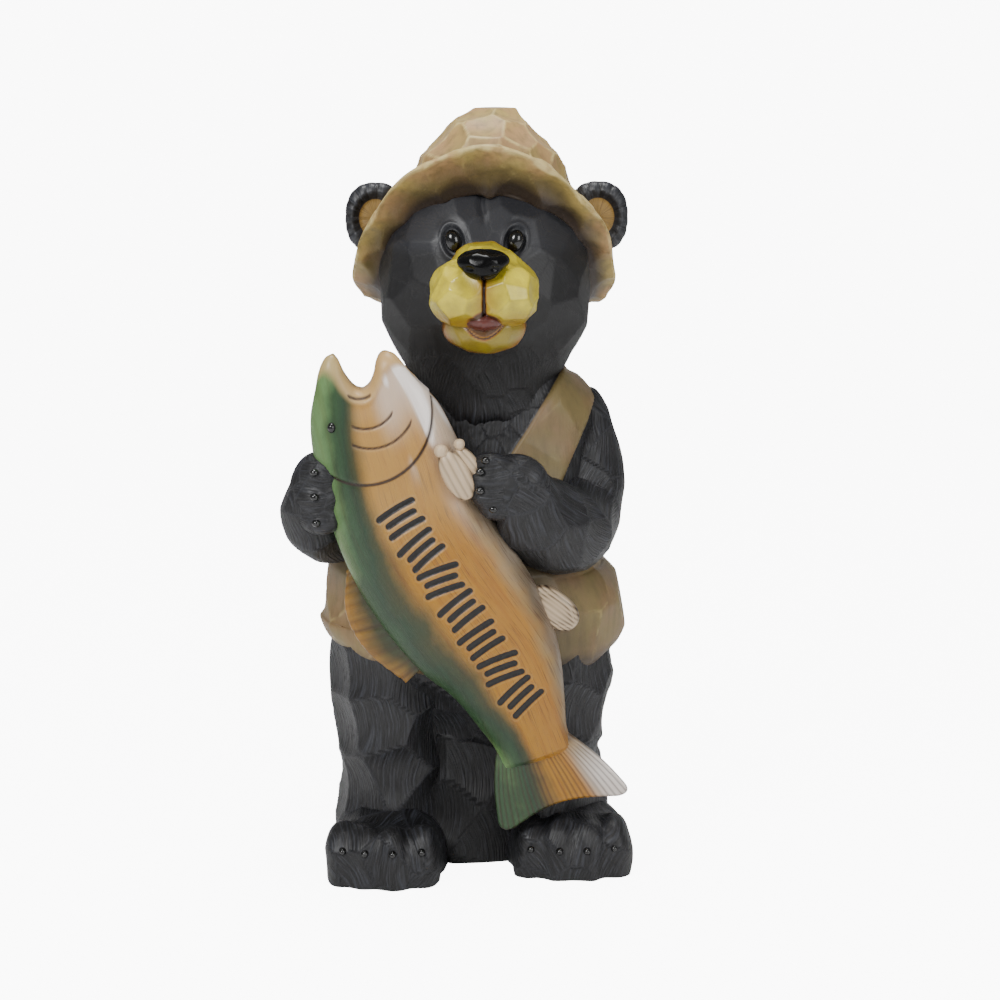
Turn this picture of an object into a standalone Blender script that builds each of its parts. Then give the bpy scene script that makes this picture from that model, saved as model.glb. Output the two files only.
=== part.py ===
"""Chainsaw carved bear: a standing bear in a bucket hat and a vest that holds a trout across its front.

The figure is one casting, so it is one solid. Each limb, the hat, the fish and so on is a closed form of its
own: a sphere or a ring whose points are moved by a function. A voxel remesh fuses the forms into one skin,
a decimation thins it to large facets, and a flat cut makes the soles.
Metres, +Z up, the bear faces -Y, and X is to the viewer's right. The origin is on the floor under the middle.
"""
import math

import bmesh
import bpy
import numpy as np

# Every size below is in six hundred and tenths of the height, a millimetre on the figure at its real height
BEAR_HEIGHT = 0.610
UNITS_IN_HEIGHT = 610.0
UNIT = BEAR_HEIGHT / UNITS_IN_HEIGHT

# Where the body's middle line stands from the middle of the whole width and depth
MIDDLE_X = 20.0
MIDDLE_Y = 20.0

FUSE_VOXEL = 2.2
TRIANGLES_WANTED = 9300
FLOOR_DROP = 60.0
CARVING_SEED = 7

SEGMENTS = 96
RINGS = 64
SMALL_SEGMENTS = 32
SMALL_RINGS = 20

FUR_BLACK = (0.021, 0.022, 0.027, 1.0)
FUR_ROUGHNESS = 0.45


def through(knots, values, at):
    """A smooth curve through the values at the knots: a cubic between each pair, with slopes from the
    neighbours on both sides, so no station overshoots much."""
    knots = np.asarray(knots, float)
    values = np.asarray(values, float)
    if values.ndim == 1:
        values = values[:, None]
    slopes = np.gradient(values, knots, axis=0)
    at = np.clip(at, knots[0], knots[-1])
    left = np.clip(np.searchsorted(knots, at, side="right") - 1, 0, len(knots) - 2)
    width = (knots[left + 1] - knots[left])
    share = (at - knots[left]) / width
    width = width[:, None]
    share = share[:, None]
    start = (1 + 2 * share) * (1 - share) ** 2
    start_slope = share * (1 - share) ** 2
    end = share ** 2 * (3 - 2 * share)
    end_slope = share ** 2 * (share - 1)
    curve = (start * values[left] + start_slope * width * slopes[left]
             + end * values[left + 1] + end_slope * width * slopes[left + 1])
    return curve


def signed_power(value, power):
    """The value raised to a power with its sign kept, which squares a circle off as the power falls."""
    return np.sign(value) * np.abs(value) ** power


def smooth_step(low, high, value):
    """0 below low, 1 above high, and an S curve between."""
    share = np.clip((value - low) / (high - low), 0.0, 1.0)
    return share * share * (3 - 2 * share)


def unit_rows(vectors):
    """Each row divided by its length."""
    return vectors / np.maximum(np.linalg.norm(vectors, axis=1, keepdims=True), 1e-9)


def read_points(mesh, what="co"):
    """The mesh's points or normals as rows of three."""
    flat = np.empty(len(mesh.vertices) * 3)
    mesh.vertices.foreach_get(what, flat)
    return flat.reshape(-1, 3)


def write_points(mesh, points):
    """Moves the mesh's points."""
    mesh.vertices.foreach_set("co", np.ascontiguousarray(points).ravel())
    mesh.update()


def sphere_mesh(name, segments, rings):
    """A sphere of radius 1."""
    mesh = bpy.data.meshes.new(name)
    build = bmesh.new()
    bmesh.ops.create_uvsphere(build, u_segments=segments, v_segments=rings, radius=1.0)
    build.to_mesh(mesh)
    build.free()
    return mesh


def sphere_angles(mesh):
    """Each point's height angle, from pole to pole, and its turn from the front towards +X."""
    points = read_points(mesh)
    rise = np.arcsin(np.clip(points[:, 2], -1.0, 1.0))
    turn = np.arctan2(points[:, 0], -points[:, 1])
    return rise, turn


def swept(name, stations, side, cap=4.0, squareness=2.0, segments=SEGMENTS, rings=RINGS):
    """A limb or body: oval sections along a smooth line through the stations, with rounded ends.

    A station is (x, y, z, half width along the side direction, half depth across it). The sphere's height
    angle runs along the line, and its turn runs round the oval."""
    mesh = sphere_mesh(name, segments, rings)
    rise, turn = sphere_angles(mesh)
    along = 0.5 + 0.5 * signed_power(np.sin(rise), 2.0 / cap)
    size = np.abs(np.cos(rise)) ** (2.0 / cap)
    stations = np.asarray(stations, float)
    steps = np.linalg.norm(np.diff(stations[:, :3], axis=0), axis=1)
    knots = np.concatenate([[0.0], np.cumsum(steps)])
    knots = knots / knots[-1]
    line = through(knots, stations, along)
    nudge = 1e-3
    ahead = through(knots, stations[:, :3], along + nudge) - through(knots, stations[:, :3], along - nudge)
    ahead = unit_rows(ahead)
    side = np.asarray(side, float)
    across = unit_rows(side - ahead * (ahead @ side)[:, None])
    depth = np.cross(across, ahead)
    round_side = signed_power(np.sin(turn), 2.0 / squareness) * size * line[:, 3]
    round_depth = -signed_power(np.cos(turn), 2.0 / squareness) * size * line[:, 4]
    write_points(mesh, line[:, :3] + across * round_side[:, None] + depth * round_depth[:, None])
    return mesh


def ball(name, centre, half, squareness=2.0, lean=0.0, segments=SMALL_SEGMENTS, rings=SMALL_RINGS):
    """An oval ball. lean turns it about the front-to-back line, in degrees."""
    mesh = sphere_mesh(name, segments, rings)
    shape = signed_power(read_points(mesh), 2.0 / squareness) * np.asarray(half, float)
    turn = math.radians(lean)
    leaned = shape.copy()
    leaned[:, 0] = shape[:, 0] * math.cos(turn) + shape[:, 2] * math.sin(turn)
    leaned[:, 2] = shape[:, 2] * math.cos(turn) - shape[:, 0] * math.sin(turn)
    write_points(mesh, leaned + np.asarray(centre, float))
    return mesh


def scattered(points, spacing, seed):
    """Points picked from the surface in a seeded order, none nearer to another than the spacing."""
    order = np.random.default_rng(seed).permutation(len(points))
    picked = [points[order[0]]]
    for row in order[1:]:
        if np.min(np.sum((np.array(picked) - points[row]) ** 2, axis=1)) > spacing ** 2:
            picked.append(points[row])
    return np.array(picked)


def lowest_cut(points, centres, hollow, tilt, seed):
    """How far a gouge leaves the wood standing: each cut is a bowl about its centre, tilted and set at its
    own depth, and the lowest cut wins, so crisp ridges stay where two cuts meet."""
    random = np.random.default_rng(seed)
    slopes = random.normal(0.0, tilt, (len(centres), 3))
    levels = random.uniform(-0.5, 0.5, len(centres))
    height = np.full(len(points), np.inf)
    for centre, slope, level in zip(centres, slopes, levels):
        offset = points - centre
        cut = level + hollow * np.sum(offset ** 2, axis=1) + offset @ slope
        height = np.minimum(height, cut)
    return height


def carve(mesh, spacing, hollow, tilt=0.05, where=None, most=4.0):
    """Cuts gouge facets into a form. where gives each point's share of the cutting."""
    points = read_points(mesh)
    normals = read_points(mesh, "normal")
    centres = scattered(points, spacing, CARVING_SEED)
    height = lowest_cut(points, centres, hollow, tilt, CARVING_SEED)
    height = np.clip(height - np.median(height), -most, most)
    if where is not None:
        height = height * where(points)
    write_points(mesh, points + normals * height[:, None])
    return mesh


# The body in its vest, from the hem up: x, y, z, half width, half depth
TORSO = [(-12, 0, 166, 119, 87), (-11, 0, 200, 122, 88), (-14, 0, 240, 109, 85), (-7, 2, 300, 96, 76),
         (-3, 3, 345, 92, 67), (0, 4, 376, 88, 60), (0, 5, 392, 74, 56), (0, 6, 400, 64, 54),
         (0, 6, 418, 60, 50)]
VEST_THICKNESS = 3.0
NECK_POINT = (0.0, 311.0)
NECK_SLOPE = 1.5
NECK_BACK = 392.0
ARMHOLE_POINT = (61.0, 318.0)
ARMHOLE_SLOPE = 0.45
ARMHOLE_LOW = 268.0
VEST_EDGE = 1.0
VEST_GOUGE = dict(spacing=38, hollow=0.0042)

# The hips under the hem, the legs and the block between them, and the collar of neck fur
HIPS = [(-11, 12, 90, 88, 50), (-11, 6, 140, 108, 66), (-12, 0, 185, 112, 80), (-12, 0, 220, 100, 76)]
LEFT_LEG = [(-75, 2, -25, 46, 56), (-76, -8, 45, 44, 57), (-75, -8, 90, 42, 58), (-75, -6, 130, 48, 66),
            (-72, -2, 170, 51, 72), (-66, 4, 215, 42, 60)]
RIGHT_LEG = [(54, 2, -25, 44, 56), (55, -8, 45, 42, 57), (54, -8, 90, 38, 58), (54, -6, 130, 47, 66),
             (52, -2, 170, 50, 72), (44, 4, 215, 42, 60)]
BETWEEN_LEGS = [(-11, 6, -25, 64, 60), (-11, 6, 50, 64, 58), (-11, 12, 110, 66, 56), (-11, 12, 150, 70, 56)]
RUFF = [(0, -6, 362, 54, 61), (0, -4, 385, 57, 58), (0, 2, 414, 60, 56)]
FUR_GOUGE = dict(spacing=33, hollow=0.0105)
ARM_GOUGE = dict(spacing=26, hollow=0.005)
FOOT_GOUGE = dict(spacing=32, hollow=0.004)


# The feet: middle, half sizes, and the toes' places across
LEFT_FOOT = dict(centre=(-78, -46, 4), half=(48, 68, 50))
RIGHT_FOOT = dict(centre=(68, -34, 4), half=(51, 62, 48))
FOOT_SQUARENESS = 2.0
TOE_SQUARENESS = 2.4
LEFT_TOES = (-113, -95, -73, -50)
RIGHT_TOES = (37, 60, 82, 104)
TOE_HALF = (14.5, 23.0, 34.0)
TOE_HEIGHT = 12.0
LEFT_TOE_FRONT = -98.0
RIGHT_TOE_FRONT = -76.0
TOE_CURVE = 0.0065
CLAW_HALF = (4.0, 5.0, 5.0)
FOOT_CLAW_HEIGHT = 31.0
FOOT_CLAW_REACH = 0.9 * TOE_HALF[1]

# The arms, from the shoulder to the paw, and the way their sections' width points
ARM_SIDE = (0.3, 0.0, 1.0)
RIGHT_ARM = [(80, 4, 386, 24, 24), (81, 0, 350, 28, 28), (78, -20, 288, 37, 32), (63, -58, 280, 37, 35),
             (40, -92, 300, 34, 30), (18, -112, 324, 28, 22), (0, -118, 331, 25, 17)]
LEFT_ARM = [(-78, 6, 386, 24, 24), (-86, 4, 350, 29, 30), (-104, -4, 294, 36, 33), (-119, -40, 289, 38, 32),
            (-130, -70, 299, 36, 28), (-134, -92, 319, 31, 25), (-127, -104, 339, 22, 20)]
RIGHT_FINGERS = [(5, -119, 346), (2, -121, 333), (3, -121, 320), (10, -118, 309)]
LEFT_FINGERS = [(-125, -108, 335), (-127, -110, 316), (-125, -108, 297)]
FINGER_HALF = (13.0, 9.0, 8.5)
FINGER_CLAW = (-8.0, -9.0)

# The head
HEAD_CENTRE = (0, 0, 470)
HEAD_HALF = (85, 80, 98)
HEAD_SQUARENESS = 2.2
HEAD_LOWER = 0.90
HEAD_GOUGE = dict(spacing=26, hollow=0.0055, tilt=0.03)
BROW_FURROW = dict(half_width=4.0, depth=3.0, low=515.0, high=540.0)
MUZZLE_LOBE = dict(centre=(18.0, -90, 474), half=(26, 34, 24))
MUZZLE_BRIDGE = dict(centre=(0, -82, 480), half=(37, 36, 31))
MUZZLE_SQUARENESS = 2.2
MUZZLE_GOUGE = dict(spacing=14, hollow=0.013, tilt=0.03)
CHIN = dict(centre=(0, -76, 446), half=(30, 30, 19))
CHIN_GOUGE = dict(spacing=15, hollow=0.01)
NOSE = dict(centre=(-1, -117, 499), half=(20, 13, 11))
NOSE_SQUARENESS = 2.4
EYE_CENTRE = (24.0, -70.0, 511.5)
EYE_HALF = (6.5, 6.5, 9.2)
EYE_LEAN = 14.0
EYE_RIM = 2.6
LID_SINK = 2.4
EAR_LEFT = (-85.5, 8.0, 521.0)
EAR_RIGHT = (89.0, 8.0, 522.0)
EAR_HALF = (24, 11, 27)
EAR_SQUARENESS = 2.3
EAR_CUP = dict(depth=8.0, inner=0.45, outer=0.8)

# The hat: the rim and the line where it meets the head
RIM_HALF = (105.0, 95.0)
RIM_MIDDLE = 496.5
RIM_TILT = 73.0
RIM_SADDLE = 16.5
HEAD_LINE_HALF = (80.0, 59.0)
HEAD_LINE_MIDDLE_Y = 4.0
HEAD_LINE_SIDE = 462.0
HEAD_LINE_FRONT = 80.0
HEAD_LINE_BACK = 36.0
BRIM_THICKNESS = 4.0
BRIM_SAG = 5.0
BRIM_GOUGE = dict(spacing=26, hollow=0.006, most=2.0)
CROWN_PEAK = 615.0
CROWN_TOP_X = 6.0
CROWN_TOP_Y = 12.0
CROWN_WIDER = 1.03
CROWN_DEEPER = 1.12
CROWN_LIFT = (6.0, 6.0)
CROWN_GOUGE = dict(spacing=34, hollow=0.0062, tilt=0.03, most=3.5)
CROWN_POWER = 2.3
CROWN_ROUND = 1.42

# The fish: x, y, z, half width, half depth, from the throat to the tail's root
FISH = [(-98, -98, 412, 37, 15), (-88, -98, 378, 54, 23), (-74, -98, 341, 57, 27), (-57, -98, 290, 58, 30),
        (-34, -98, 251, 60, 30), (-6, -97, 210, 57, 28), (10, -95, 186, 50, 25), (30, -91, 138, 36, 20),
        (37, -90, 118, 30, 15), (44, -90, 98, 30, 9)]
FISH_SIDE = (0.86, 0.0, 0.5)
GILL = dict(centre=(-94.0, 383.0), radius=53.0, step=3.0, edge=1.5, fade=45.0)
UPPER_JAW = [(-100, -98, 376, 30, 18), (-109, -98, 408, 16, 14), (-118, -98, 427, 7, 8)]
LOWER_JAW = [(-80, -98, 372, 39, 19), (-72, -98, 404, 21, 15), (-78, -98, 429, 7, 8)]
TAIL_ROOT = (37.0, -90.0, 119.0)
TAIL_ROOT_TILT = 11.0
TAIL_AIM = 24.0
TAIL_SPREAD = 24.0
TAIL_ROOT_HALF = 27.0
TAIL_MIDDLE = 60.0
TAIL_LOBE = 22.0
TAIL_ROUND = 13.0
TAIL_BULGE = 3.0
TAIL_THICKNESS = 7.0
TAIL_EDGE = 0.35
TAIL_END = 0.2
DORSAL = [(-105, -96, 252, 5, 5), (-98, -96, 226, 11, 5), (-84, -96, 201, 15, 5), (-68, -96, 183, 14, 4),
          (-58, -96, 172, 5, 4)]
PELVIC = [(38, -92, 242, 10, 8), (52, -95, 227, 15, 7), (67, -96, 212, 11, 5)]
PECTORAL = [(-34, -118, 354, 9, 7), (-24, -121, 338, 13, 9), (-14, -121, 322, 11, 7)]

# The band of strokes down the fish's flank
STROKE_ROWS = 7
STROKES_IN_ROW = 3
STROKE_HALF_LENGTH = 15.0
STROKE_HALF_WIDTH = 2.6
STROKE_PITCH = 9.0
STROKE_DEPTH = 3.0
STROKE_TURN = 12.0
STROKE_TURN_STEP = 2.3
STROKE_EDGE = 1.0
FLANK_Y = -98.0
BAND_START = (-72.0, 316.0)
BAND_END = (36.0, 146.0)


def vest_share(points):
    """1 where the vest covers the body, 0 where fur shows: outside the V neck in front, below the neckline
    behind, and outside the two armholes, whose front edges slope out to the shoulders."""
    x = np.abs(points[:, 0] - NECK_POINT[0])
    y = points[:, 1]
    z = points[:, 2]
    neck = np.where(y < 0, NECK_POINT[1] + NECK_SLOPE * x, NECK_BACK) - z
    armhole = ARMHOLE_POINT[0] + ARMHOLE_SLOPE * (z - ARMHOLE_POINT[1]) - x
    armhole = np.maximum(armhole, ARMHOLE_LOW - z)
    return smooth_step(-VEST_EDGE, VEST_EDGE, np.minimum(neck, armhole))


def torso():
    """The body, gouged where the vest is, with the vest standing out from the fur at its edges."""
    mesh = swept("torso", TORSO, (1, 0, 0), cap=14.0, squareness=2.15, segments=160, rings=110)
    carve(mesh, where=vest_share, **VEST_GOUGE)
    points = read_points(mesh)
    normals = read_points(mesh, "normal")
    write_points(mesh, points + normals * (VEST_THICKNESS * vest_share(points))[:, None])
    return mesh


def head():
    """A broad ball that narrows a little below, with large soft facets and a furrow down the brow."""
    mesh = sphere_mesh("head", SEGMENTS, RINGS)
    shape = signed_power(read_points(mesh), 2.0 / HEAD_SQUARENESS) * np.asarray(HEAD_HALF, float)
    shape[:, 2] *= np.where(shape[:, 2] < 0, HEAD_LOWER, 1.0)
    write_points(mesh, shape + np.asarray(HEAD_CENTRE, float))
    carve(mesh, **HEAD_GOUGE)
    points = read_points(mesh)
    furrow = BROW_FURROW["depth"] * np.exp(-(points[:, 0] / BROW_FURROW["half_width"]) ** 2)
    furrow *= smooth_step(BROW_FURROW["low"], BROW_FURROW["high"], points[:, 2])
    points[:, 1] += furrow * (points[:, 1] < 0)
    write_points(mesh, points)
    return mesh


def rim_point(turn):
    """The rim: tipped up in front and saddle shaped, so the brim stands like a halo round the face."""
    return np.stack([RIM_HALF[0] * np.sin(turn), -RIM_HALF[1] * np.cos(turn),
                     RIM_MIDDLE + RIM_TILT * np.cos(turn) + RIM_SADDLE * np.cos(2 * turn)], axis=1)


def head_line(turn):
    """The line where the hat meets the head, just inside the head's skin."""
    lift = np.where(np.cos(turn) > 0, HEAD_LINE_FRONT, HEAD_LINE_BACK) * np.cos(turn)
    return np.stack([HEAD_LINE_HALF[0] * np.sin(turn), HEAD_LINE_MIDDLE_Y - HEAD_LINE_HALF[1] * np.cos(turn),
                     HEAD_LINE_SIDE + lift], axis=1)


def brim():
    """The turned-up brim: a ring whose flat section reaches from the head to the rim."""
    bpy.ops.mesh.primitive_torus_add(major_segments=120, minor_segments=28, major_radius=1.0,
                                     minor_radius=0.3)
    ring = bpy.context.object
    mesh = ring.data
    bpy.data.objects.remove(ring)
    points = read_points(mesh)
    turn = np.arctan2(points[:, 0], -points[:, 1])
    reach = np.hypot(points[:, 0], points[:, 1]) - 1.0
    section = np.arctan2(points[:, 2], reach)
    inner = head_line(turn)
    outer = rim_point(turn)
    run = unit_rows(outer - inner)
    round_way = np.stack([np.cos(turn), np.sin(turn), np.zeros_like(turn)], axis=1)
    up = unit_rows(np.cross(round_way, run))
    up = up * np.where(up[:, 2:3] < 0, -1.0, 1.0)
    share = 0.5 + 0.5 * signed_power(np.cos(section), 0.8)
    sag = BRIM_SAG * np.sin(np.pi * share)
    lift = BRIM_THICKNESS * signed_power(np.sin(section), 0.6) + sag
    write_points(mesh, inner + (outer - inner) * share[:, None] + up * lift[:, None])
    return carve(mesh, **BRIM_GOUGE)


def crown():
    """The hat's crown: it rises from just above the head line to a small flat top, cut in broad planes."""
    mesh = sphere_mesh("crown", SEGMENTS, RINGS)
    rise, turn = sphere_angles(mesh)
    height = np.clip(np.sin(rise), 0.0, 1.0)
    width = np.where(rise > 0, (1 - height ** CROWN_POWER) ** (1 / CROWN_ROUND), np.abs(np.cos(rise)))
    base = head_line(turn)
    base[:, 2] += CROWN_LIFT[0] + CROWN_LIFT[1] * np.clip(np.cos(turn), 0.0, 1.0)
    middle = HEAD_LINE_MIDDLE_Y
    points = np.empty_like(base)
    points[:, 0] = CROWN_TOP_X * height + base[:, 0] * CROWN_WIDER * width
    points[:, 1] = middle + (CROWN_TOP_Y - middle) * height + (base[:, 1] - middle) * CROWN_DEEPER * width
    points[:, 2] = base[:, 2] * (1 - height) + CROWN_PEAK * height
    write_points(mesh, points)
    carve(mesh, **CROWN_GOUGE)
    points = read_points(mesh)
    points[:, 2] = np.minimum(points[:, 2], UNITS_IN_HEIGHT)
    write_points(mesh, points)
    return mesh


def ear(centre):
    """A cupped ear: an oval disc with its front hollowed inside a rim."""
    mesh = ball("ear", (0, 0, 0), EAR_HALF, squareness=EAR_SQUARENESS, segments=48, rings=32)
    points = read_points(mesh)
    across = np.hypot(points[:, 0] / EAR_HALF[0], points[:, 2] / EAR_HALF[2])
    cup = EAR_CUP["depth"] * (1 - smooth_step(EAR_CUP["inner"], EAR_CUP["outer"], across))
    points[:, 1] += cup * (points[:, 1] < 0)
    write_points(mesh, points + np.array(centre))
    return mesh


def face():
    """The muzzle's two lobes and bridge, the chin, the nose and the eyes with their raised lids."""
    parts = [ear(EAR_LEFT), ear(EAR_RIGHT), ball("nose", NOSE["centre"], NOSE["half"], NOSE_SQUARENESS)]
    lid = (EYE_HALF[0] + EYE_RIM, EYE_HALF[1] - LID_SINK, EYE_HALF[2] + EYE_RIM)
    for side in (-1, 1):
        x, y, z = MUZZLE_LOBE["centre"]
        lobe = ball("cheek", (side * x, y, z), MUZZLE_LOBE["half"], MUZZLE_SQUARENESS, segments=48, rings=32)
        parts.append(carve(lobe, **MUZZLE_GOUGE))
        x, y, z = EYE_CENTRE
        parts.append(ball("eye", (side * x, y, z), EYE_HALF, lean=side * EYE_LEAN))
        parts.append(ball("lid", (side * x, y, z), lid, lean=side * EYE_LEAN))
    bridge = ball("bridge", MUZZLE_BRIDGE["centre"], MUZZLE_BRIDGE["half"], segments=48, rings=32)
    parts.append(carve(bridge, **MUZZLE_GOUGE))
    chin = ball("chin", CHIN["centre"], CHIN["half"], MUZZLE_SQUARENESS, segments=48, rings=32)
    parts.append(carve(chin, **CHIN_GOUGE))
    return parts


def foot(side_name, shape, toes, front):
    """A thick foot with toe lobes along its front and a claw on each."""
    sole = ball(side_name, shape["centre"], shape["half"], FOOT_SQUARENESS, segments=64, rings=40)
    parts = [carve(sole, **FOOT_GOUGE)]
    middle = shape["centre"][0]
    for place in toes:
        depth = front + TOE_CURVE * (place - middle) ** 2
        parts.append(ball("toe", (place, depth, TOE_HEIGHT), TOE_HALF, TOE_SQUARENESS))
        parts.append(ball("claw", (place, depth - FOOT_CLAW_REACH, FOOT_CLAW_HEIGHT), CLAW_HALF))
    return parts


def paw(fingers):
    """Finger lobes at the end of an arm, each with a claw on its knuckle."""
    parts = []
    for x, y, z in fingers:
        parts.append(ball("finger", (x, y, z), FINGER_HALF))
        parts.append(ball("claw", (x + FINGER_CLAW[0], y + FINGER_CLAW[1], z), CLAW_HALF))
    return parts


def tail():
    """The forked tail: a sphere flattened into a fan, whose two lobes reach further than its middle and
    have rounded tips."""
    mesh = sphere_mesh("tail", SEGMENTS, 40)
    rise, turn = sphere_angles(mesh)
    out = 0.5 - 0.5 * np.sin(rise)
    u = np.sin(turn)
    tilt = math.radians(TAIL_ROOT_TILT)
    angle = np.radians(TAIL_AIM + TAIL_SPREAD * u)
    reach = out * (TAIL_MIDDLE + TAIL_LOBE * u ** 2 - TAIL_ROUND * smooth_step(0.8, 1.0, np.abs(u)))
    aside = u * (TAIL_ROOT_HALF + TAIL_BULGE * np.sin(np.pi * out))
    shape = np.empty((len(out), 3))
    shape[:, 0] = TAIL_ROOT[0] + aside * math.cos(tilt) + reach * np.sin(angle)
    shape[:, 1] = TAIL_ROOT[1] - TAIL_THICKNESS * signed_power(np.cos(turn), TAIL_EDGE) * np.cos(rise) ** TAIL_END
    shape[:, 2] = TAIL_ROOT[2] + aside * math.sin(tilt) - reach * np.cos(angle)
    write_points(mesh, shape)
    return mesh


def stroke_share(points):
    """1 on the strokes of the band down the flank, 0 off them. The strokes are short straight cuts, three
    side by side in a row, each row turned a little from the one before."""
    start = np.array(BAND_START)
    run = np.array(BAND_END) - start
    length = np.linalg.norm(run)
    along_way = run / length
    across_way = np.array([-along_way[1], along_way[0]])
    flat = points[:, [0, 2]] - start
    along = flat @ along_way
    across = flat @ across_way
    share = np.zeros(len(points))
    for row in range(STROKE_ROWS):
        middle = length * (row + 0.5) / STROKE_ROWS
        turn = math.radians(STROKE_TURN * math.sin(STROKE_TURN_STEP * row))
        u = (along - middle) * math.cos(turn) + across * math.sin(turn)
        v = across * math.cos(turn) - (along - middle) * math.sin(turn)
        for cut in range(STROKES_IN_ROW):
            offset = u - (cut - (STROKES_IN_ROW - 1) / 2) * STROKE_PITCH
            ends = smooth_step(STROKE_HALF_LENGTH + STROKE_EDGE, STROKE_HALF_LENGTH - STROKE_EDGE, np.abs(v))
            share = np.maximum(share, ends * smooth_step(STROKE_HALF_WIDTH, STROKE_EDGE / 2, np.abs(offset)))
    return share


def gill_share(points):
    """How proud the gill cover stands: 1 just inside its round edge, fading towards the snout, 0 behind."""
    inside = GILL["radius"] - np.hypot(points[:, 0] - GILL["centre"][0], points[:, 2] - GILL["centre"][1])
    return smooth_step(-GILL["edge"], GILL["edge"], inside) * smooth_step(GILL["fade"], 0.0, inside)


def fish():
    """The fish: body, open jaws, fins and tail, with the gill cover's step and the band of strokes on the
    flank that faces forwards."""
    body = swept("fish", FISH, FISH_SIDE, cap=3.0, segments=220, rings=260)
    points = read_points(body)
    front = points[:, 1] < FLANK_Y
    points[:, 1] += (STROKE_DEPTH * stroke_share(points) - GILL["step"] * gill_share(points)) * front
    write_points(body, points)
    parts = [body, tail()]
    for name, stations in (("upper_jaw", UPPER_JAW), ("lower_jaw", LOWER_JAW), ("dorsal", DORSAL),
                           ("pelvic", PELVIC), ("pectoral", PECTORAL)):
        parts.append(swept(name, stations, FISH_SIDE, cap=2.6, segments=40, rings=40))
    return parts


def all_forms():
    """Every form of the figure, in units, with the body's middle line at x = 0."""
    forms = [torso(), head(), brim(), crown()]
    for name, stations in (("left_leg", LEFT_LEG), ("right_leg", RIGHT_LEG)):
        forms.append(carve(swept(name, stations, (1, 0, 0), cap=6.0), **FUR_GOUGE))
    for name, stations in (("hips", HIPS), ("between_legs", BETWEEN_LEGS)):
        forms.append(carve(swept(name, stations, (1, 0, 0), cap=9.0), **FUR_GOUGE))
    forms.append(swept("ruff", RUFF, (1, 0, 0), cap=9.0))
    for name, stations in (("left_arm", LEFT_ARM), ("right_arm", RIGHT_ARM)):
        forms.append(carve(swept(name, stations, ARM_SIDE, cap=3.0), **ARM_GOUGE))
    forms += foot("left_foot", LEFT_FOOT, LEFT_TOES, LEFT_TOE_FRONT)
    forms += foot("right_foot", RIGHT_FOOT, RIGHT_TOES, RIGHT_TOE_FRONT)
    forms += paw(LEFT_FINGERS)
    forms += paw(RIGHT_FINGERS)
    forms += face()
    forms += fish()
    return forms


def joined(forms):
    """One mesh with every form in it, moved to the frame's origin and brought to metres."""
    together = bmesh.new()
    for mesh in forms:
        together.from_mesh(mesh)
        bpy.data.meshes.remove(mesh)
    mesh = bpy.data.meshes.new("carved_bear")
    together.to_mesh(mesh)
    together.free()
    points = read_points(mesh) + np.array([MIDDLE_X, MIDDLE_Y, 0.0])
    write_points(mesh, points * UNIT)
    return mesh


def floor_cutter(collection):
    """A block under the floor, which cuts the soles flat."""
    mesh = bpy.data.meshes.new("floor_cutter")
    build = bmesh.new()
    bmesh.ops.create_cube(build, size=1.0)
    for vertex in build.verts:
        vertex.co.x *= BEAR_HEIGHT
        vertex.co.y *= BEAR_HEIGHT
        vertex.co.z = (vertex.co.z - 0.5) * FLOOR_DROP * UNIT
    build.to_mesh(mesh)
    build.free()
    cutter = bpy.data.objects.new("floor_cutter", mesh)
    cutter.hide_render = True
    cutter.display_type = "WIRE"
    collection.objects.link(cutter)
    return cutter


def fur_paint():
    """Black satin paint."""
    material = bpy.data.materials.new("fur_paint")
    material.use_nodes = True
    shader = material.node_tree.nodes["Principled BSDF"]
    shader.inputs["Base Color"].default_value = FUR_BLACK
    shader.inputs["Roughness"].default_value = FUR_ROUGHNESS
    shader.inputs["Metallic"].default_value = 0.0
    return material


def main():
    for old in list(bpy.data.objects):
        bpy.data.objects.remove(old)
    figure_collection = bpy.data.collections.new("chainsaw_carved_bear")
    cutter_collection = bpy.data.collections.new("cutters")
    bpy.context.scene.collection.children.link(figure_collection)
    bpy.context.scene.collection.children.link(cutter_collection)
    mesh = joined(all_forms())
    mesh.materials.append(fur_paint())
    bear = bpy.data.objects.new("carved_bear", mesh)
    figure_collection.objects.link(bear)
    fuse = bear.modifiers.new("fuse", "REMESH")
    fuse.mode = "VOXEL"
    fuse.voxel_size = FUSE_VOXEL * UNIT
    fuse.adaptivity = 0.0
    bpy.context.view_layer.update()
    fused = bear.evaluated_get(bpy.context.evaluated_depsgraph_get()).to_mesh()
    fused.calc_loop_triangles()
    share = TRIANGLES_WANTED / len(fused.loop_triangles)
    thin = bear.modifiers.new("thin", "DECIMATE")
    thin.decimate_type = "COLLAPSE"
    thin.ratio = min(1.0, share)
    soles = bear.modifiers.new("soles", "BOOLEAN")
    soles.operation = "DIFFERENCE"
    soles.solver = "EXACT"
    soles.object = floor_cutter(cutter_collection)


main()
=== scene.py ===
# %% [markdown]
# # A carved bear with its catch
# The real object is a garden statue, cast in resin from a bear that was roughed out with a saw and finished
# with gouges, then painted. Everything that makes it look carved is on its skin: scooped gouge facets, rows
# of short fur cuts, wood grain along the fish, and paint that is paler on every ridge.
#
# The statue could be sculpted by hand in Sculpt Mode, but then no size on it could be changed or repeated.
# Here each form is worked out from a few named sizes as a grid of points, and the carving is a height that
# is added along the grid's normals.

# %% Load the frame
import math

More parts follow.
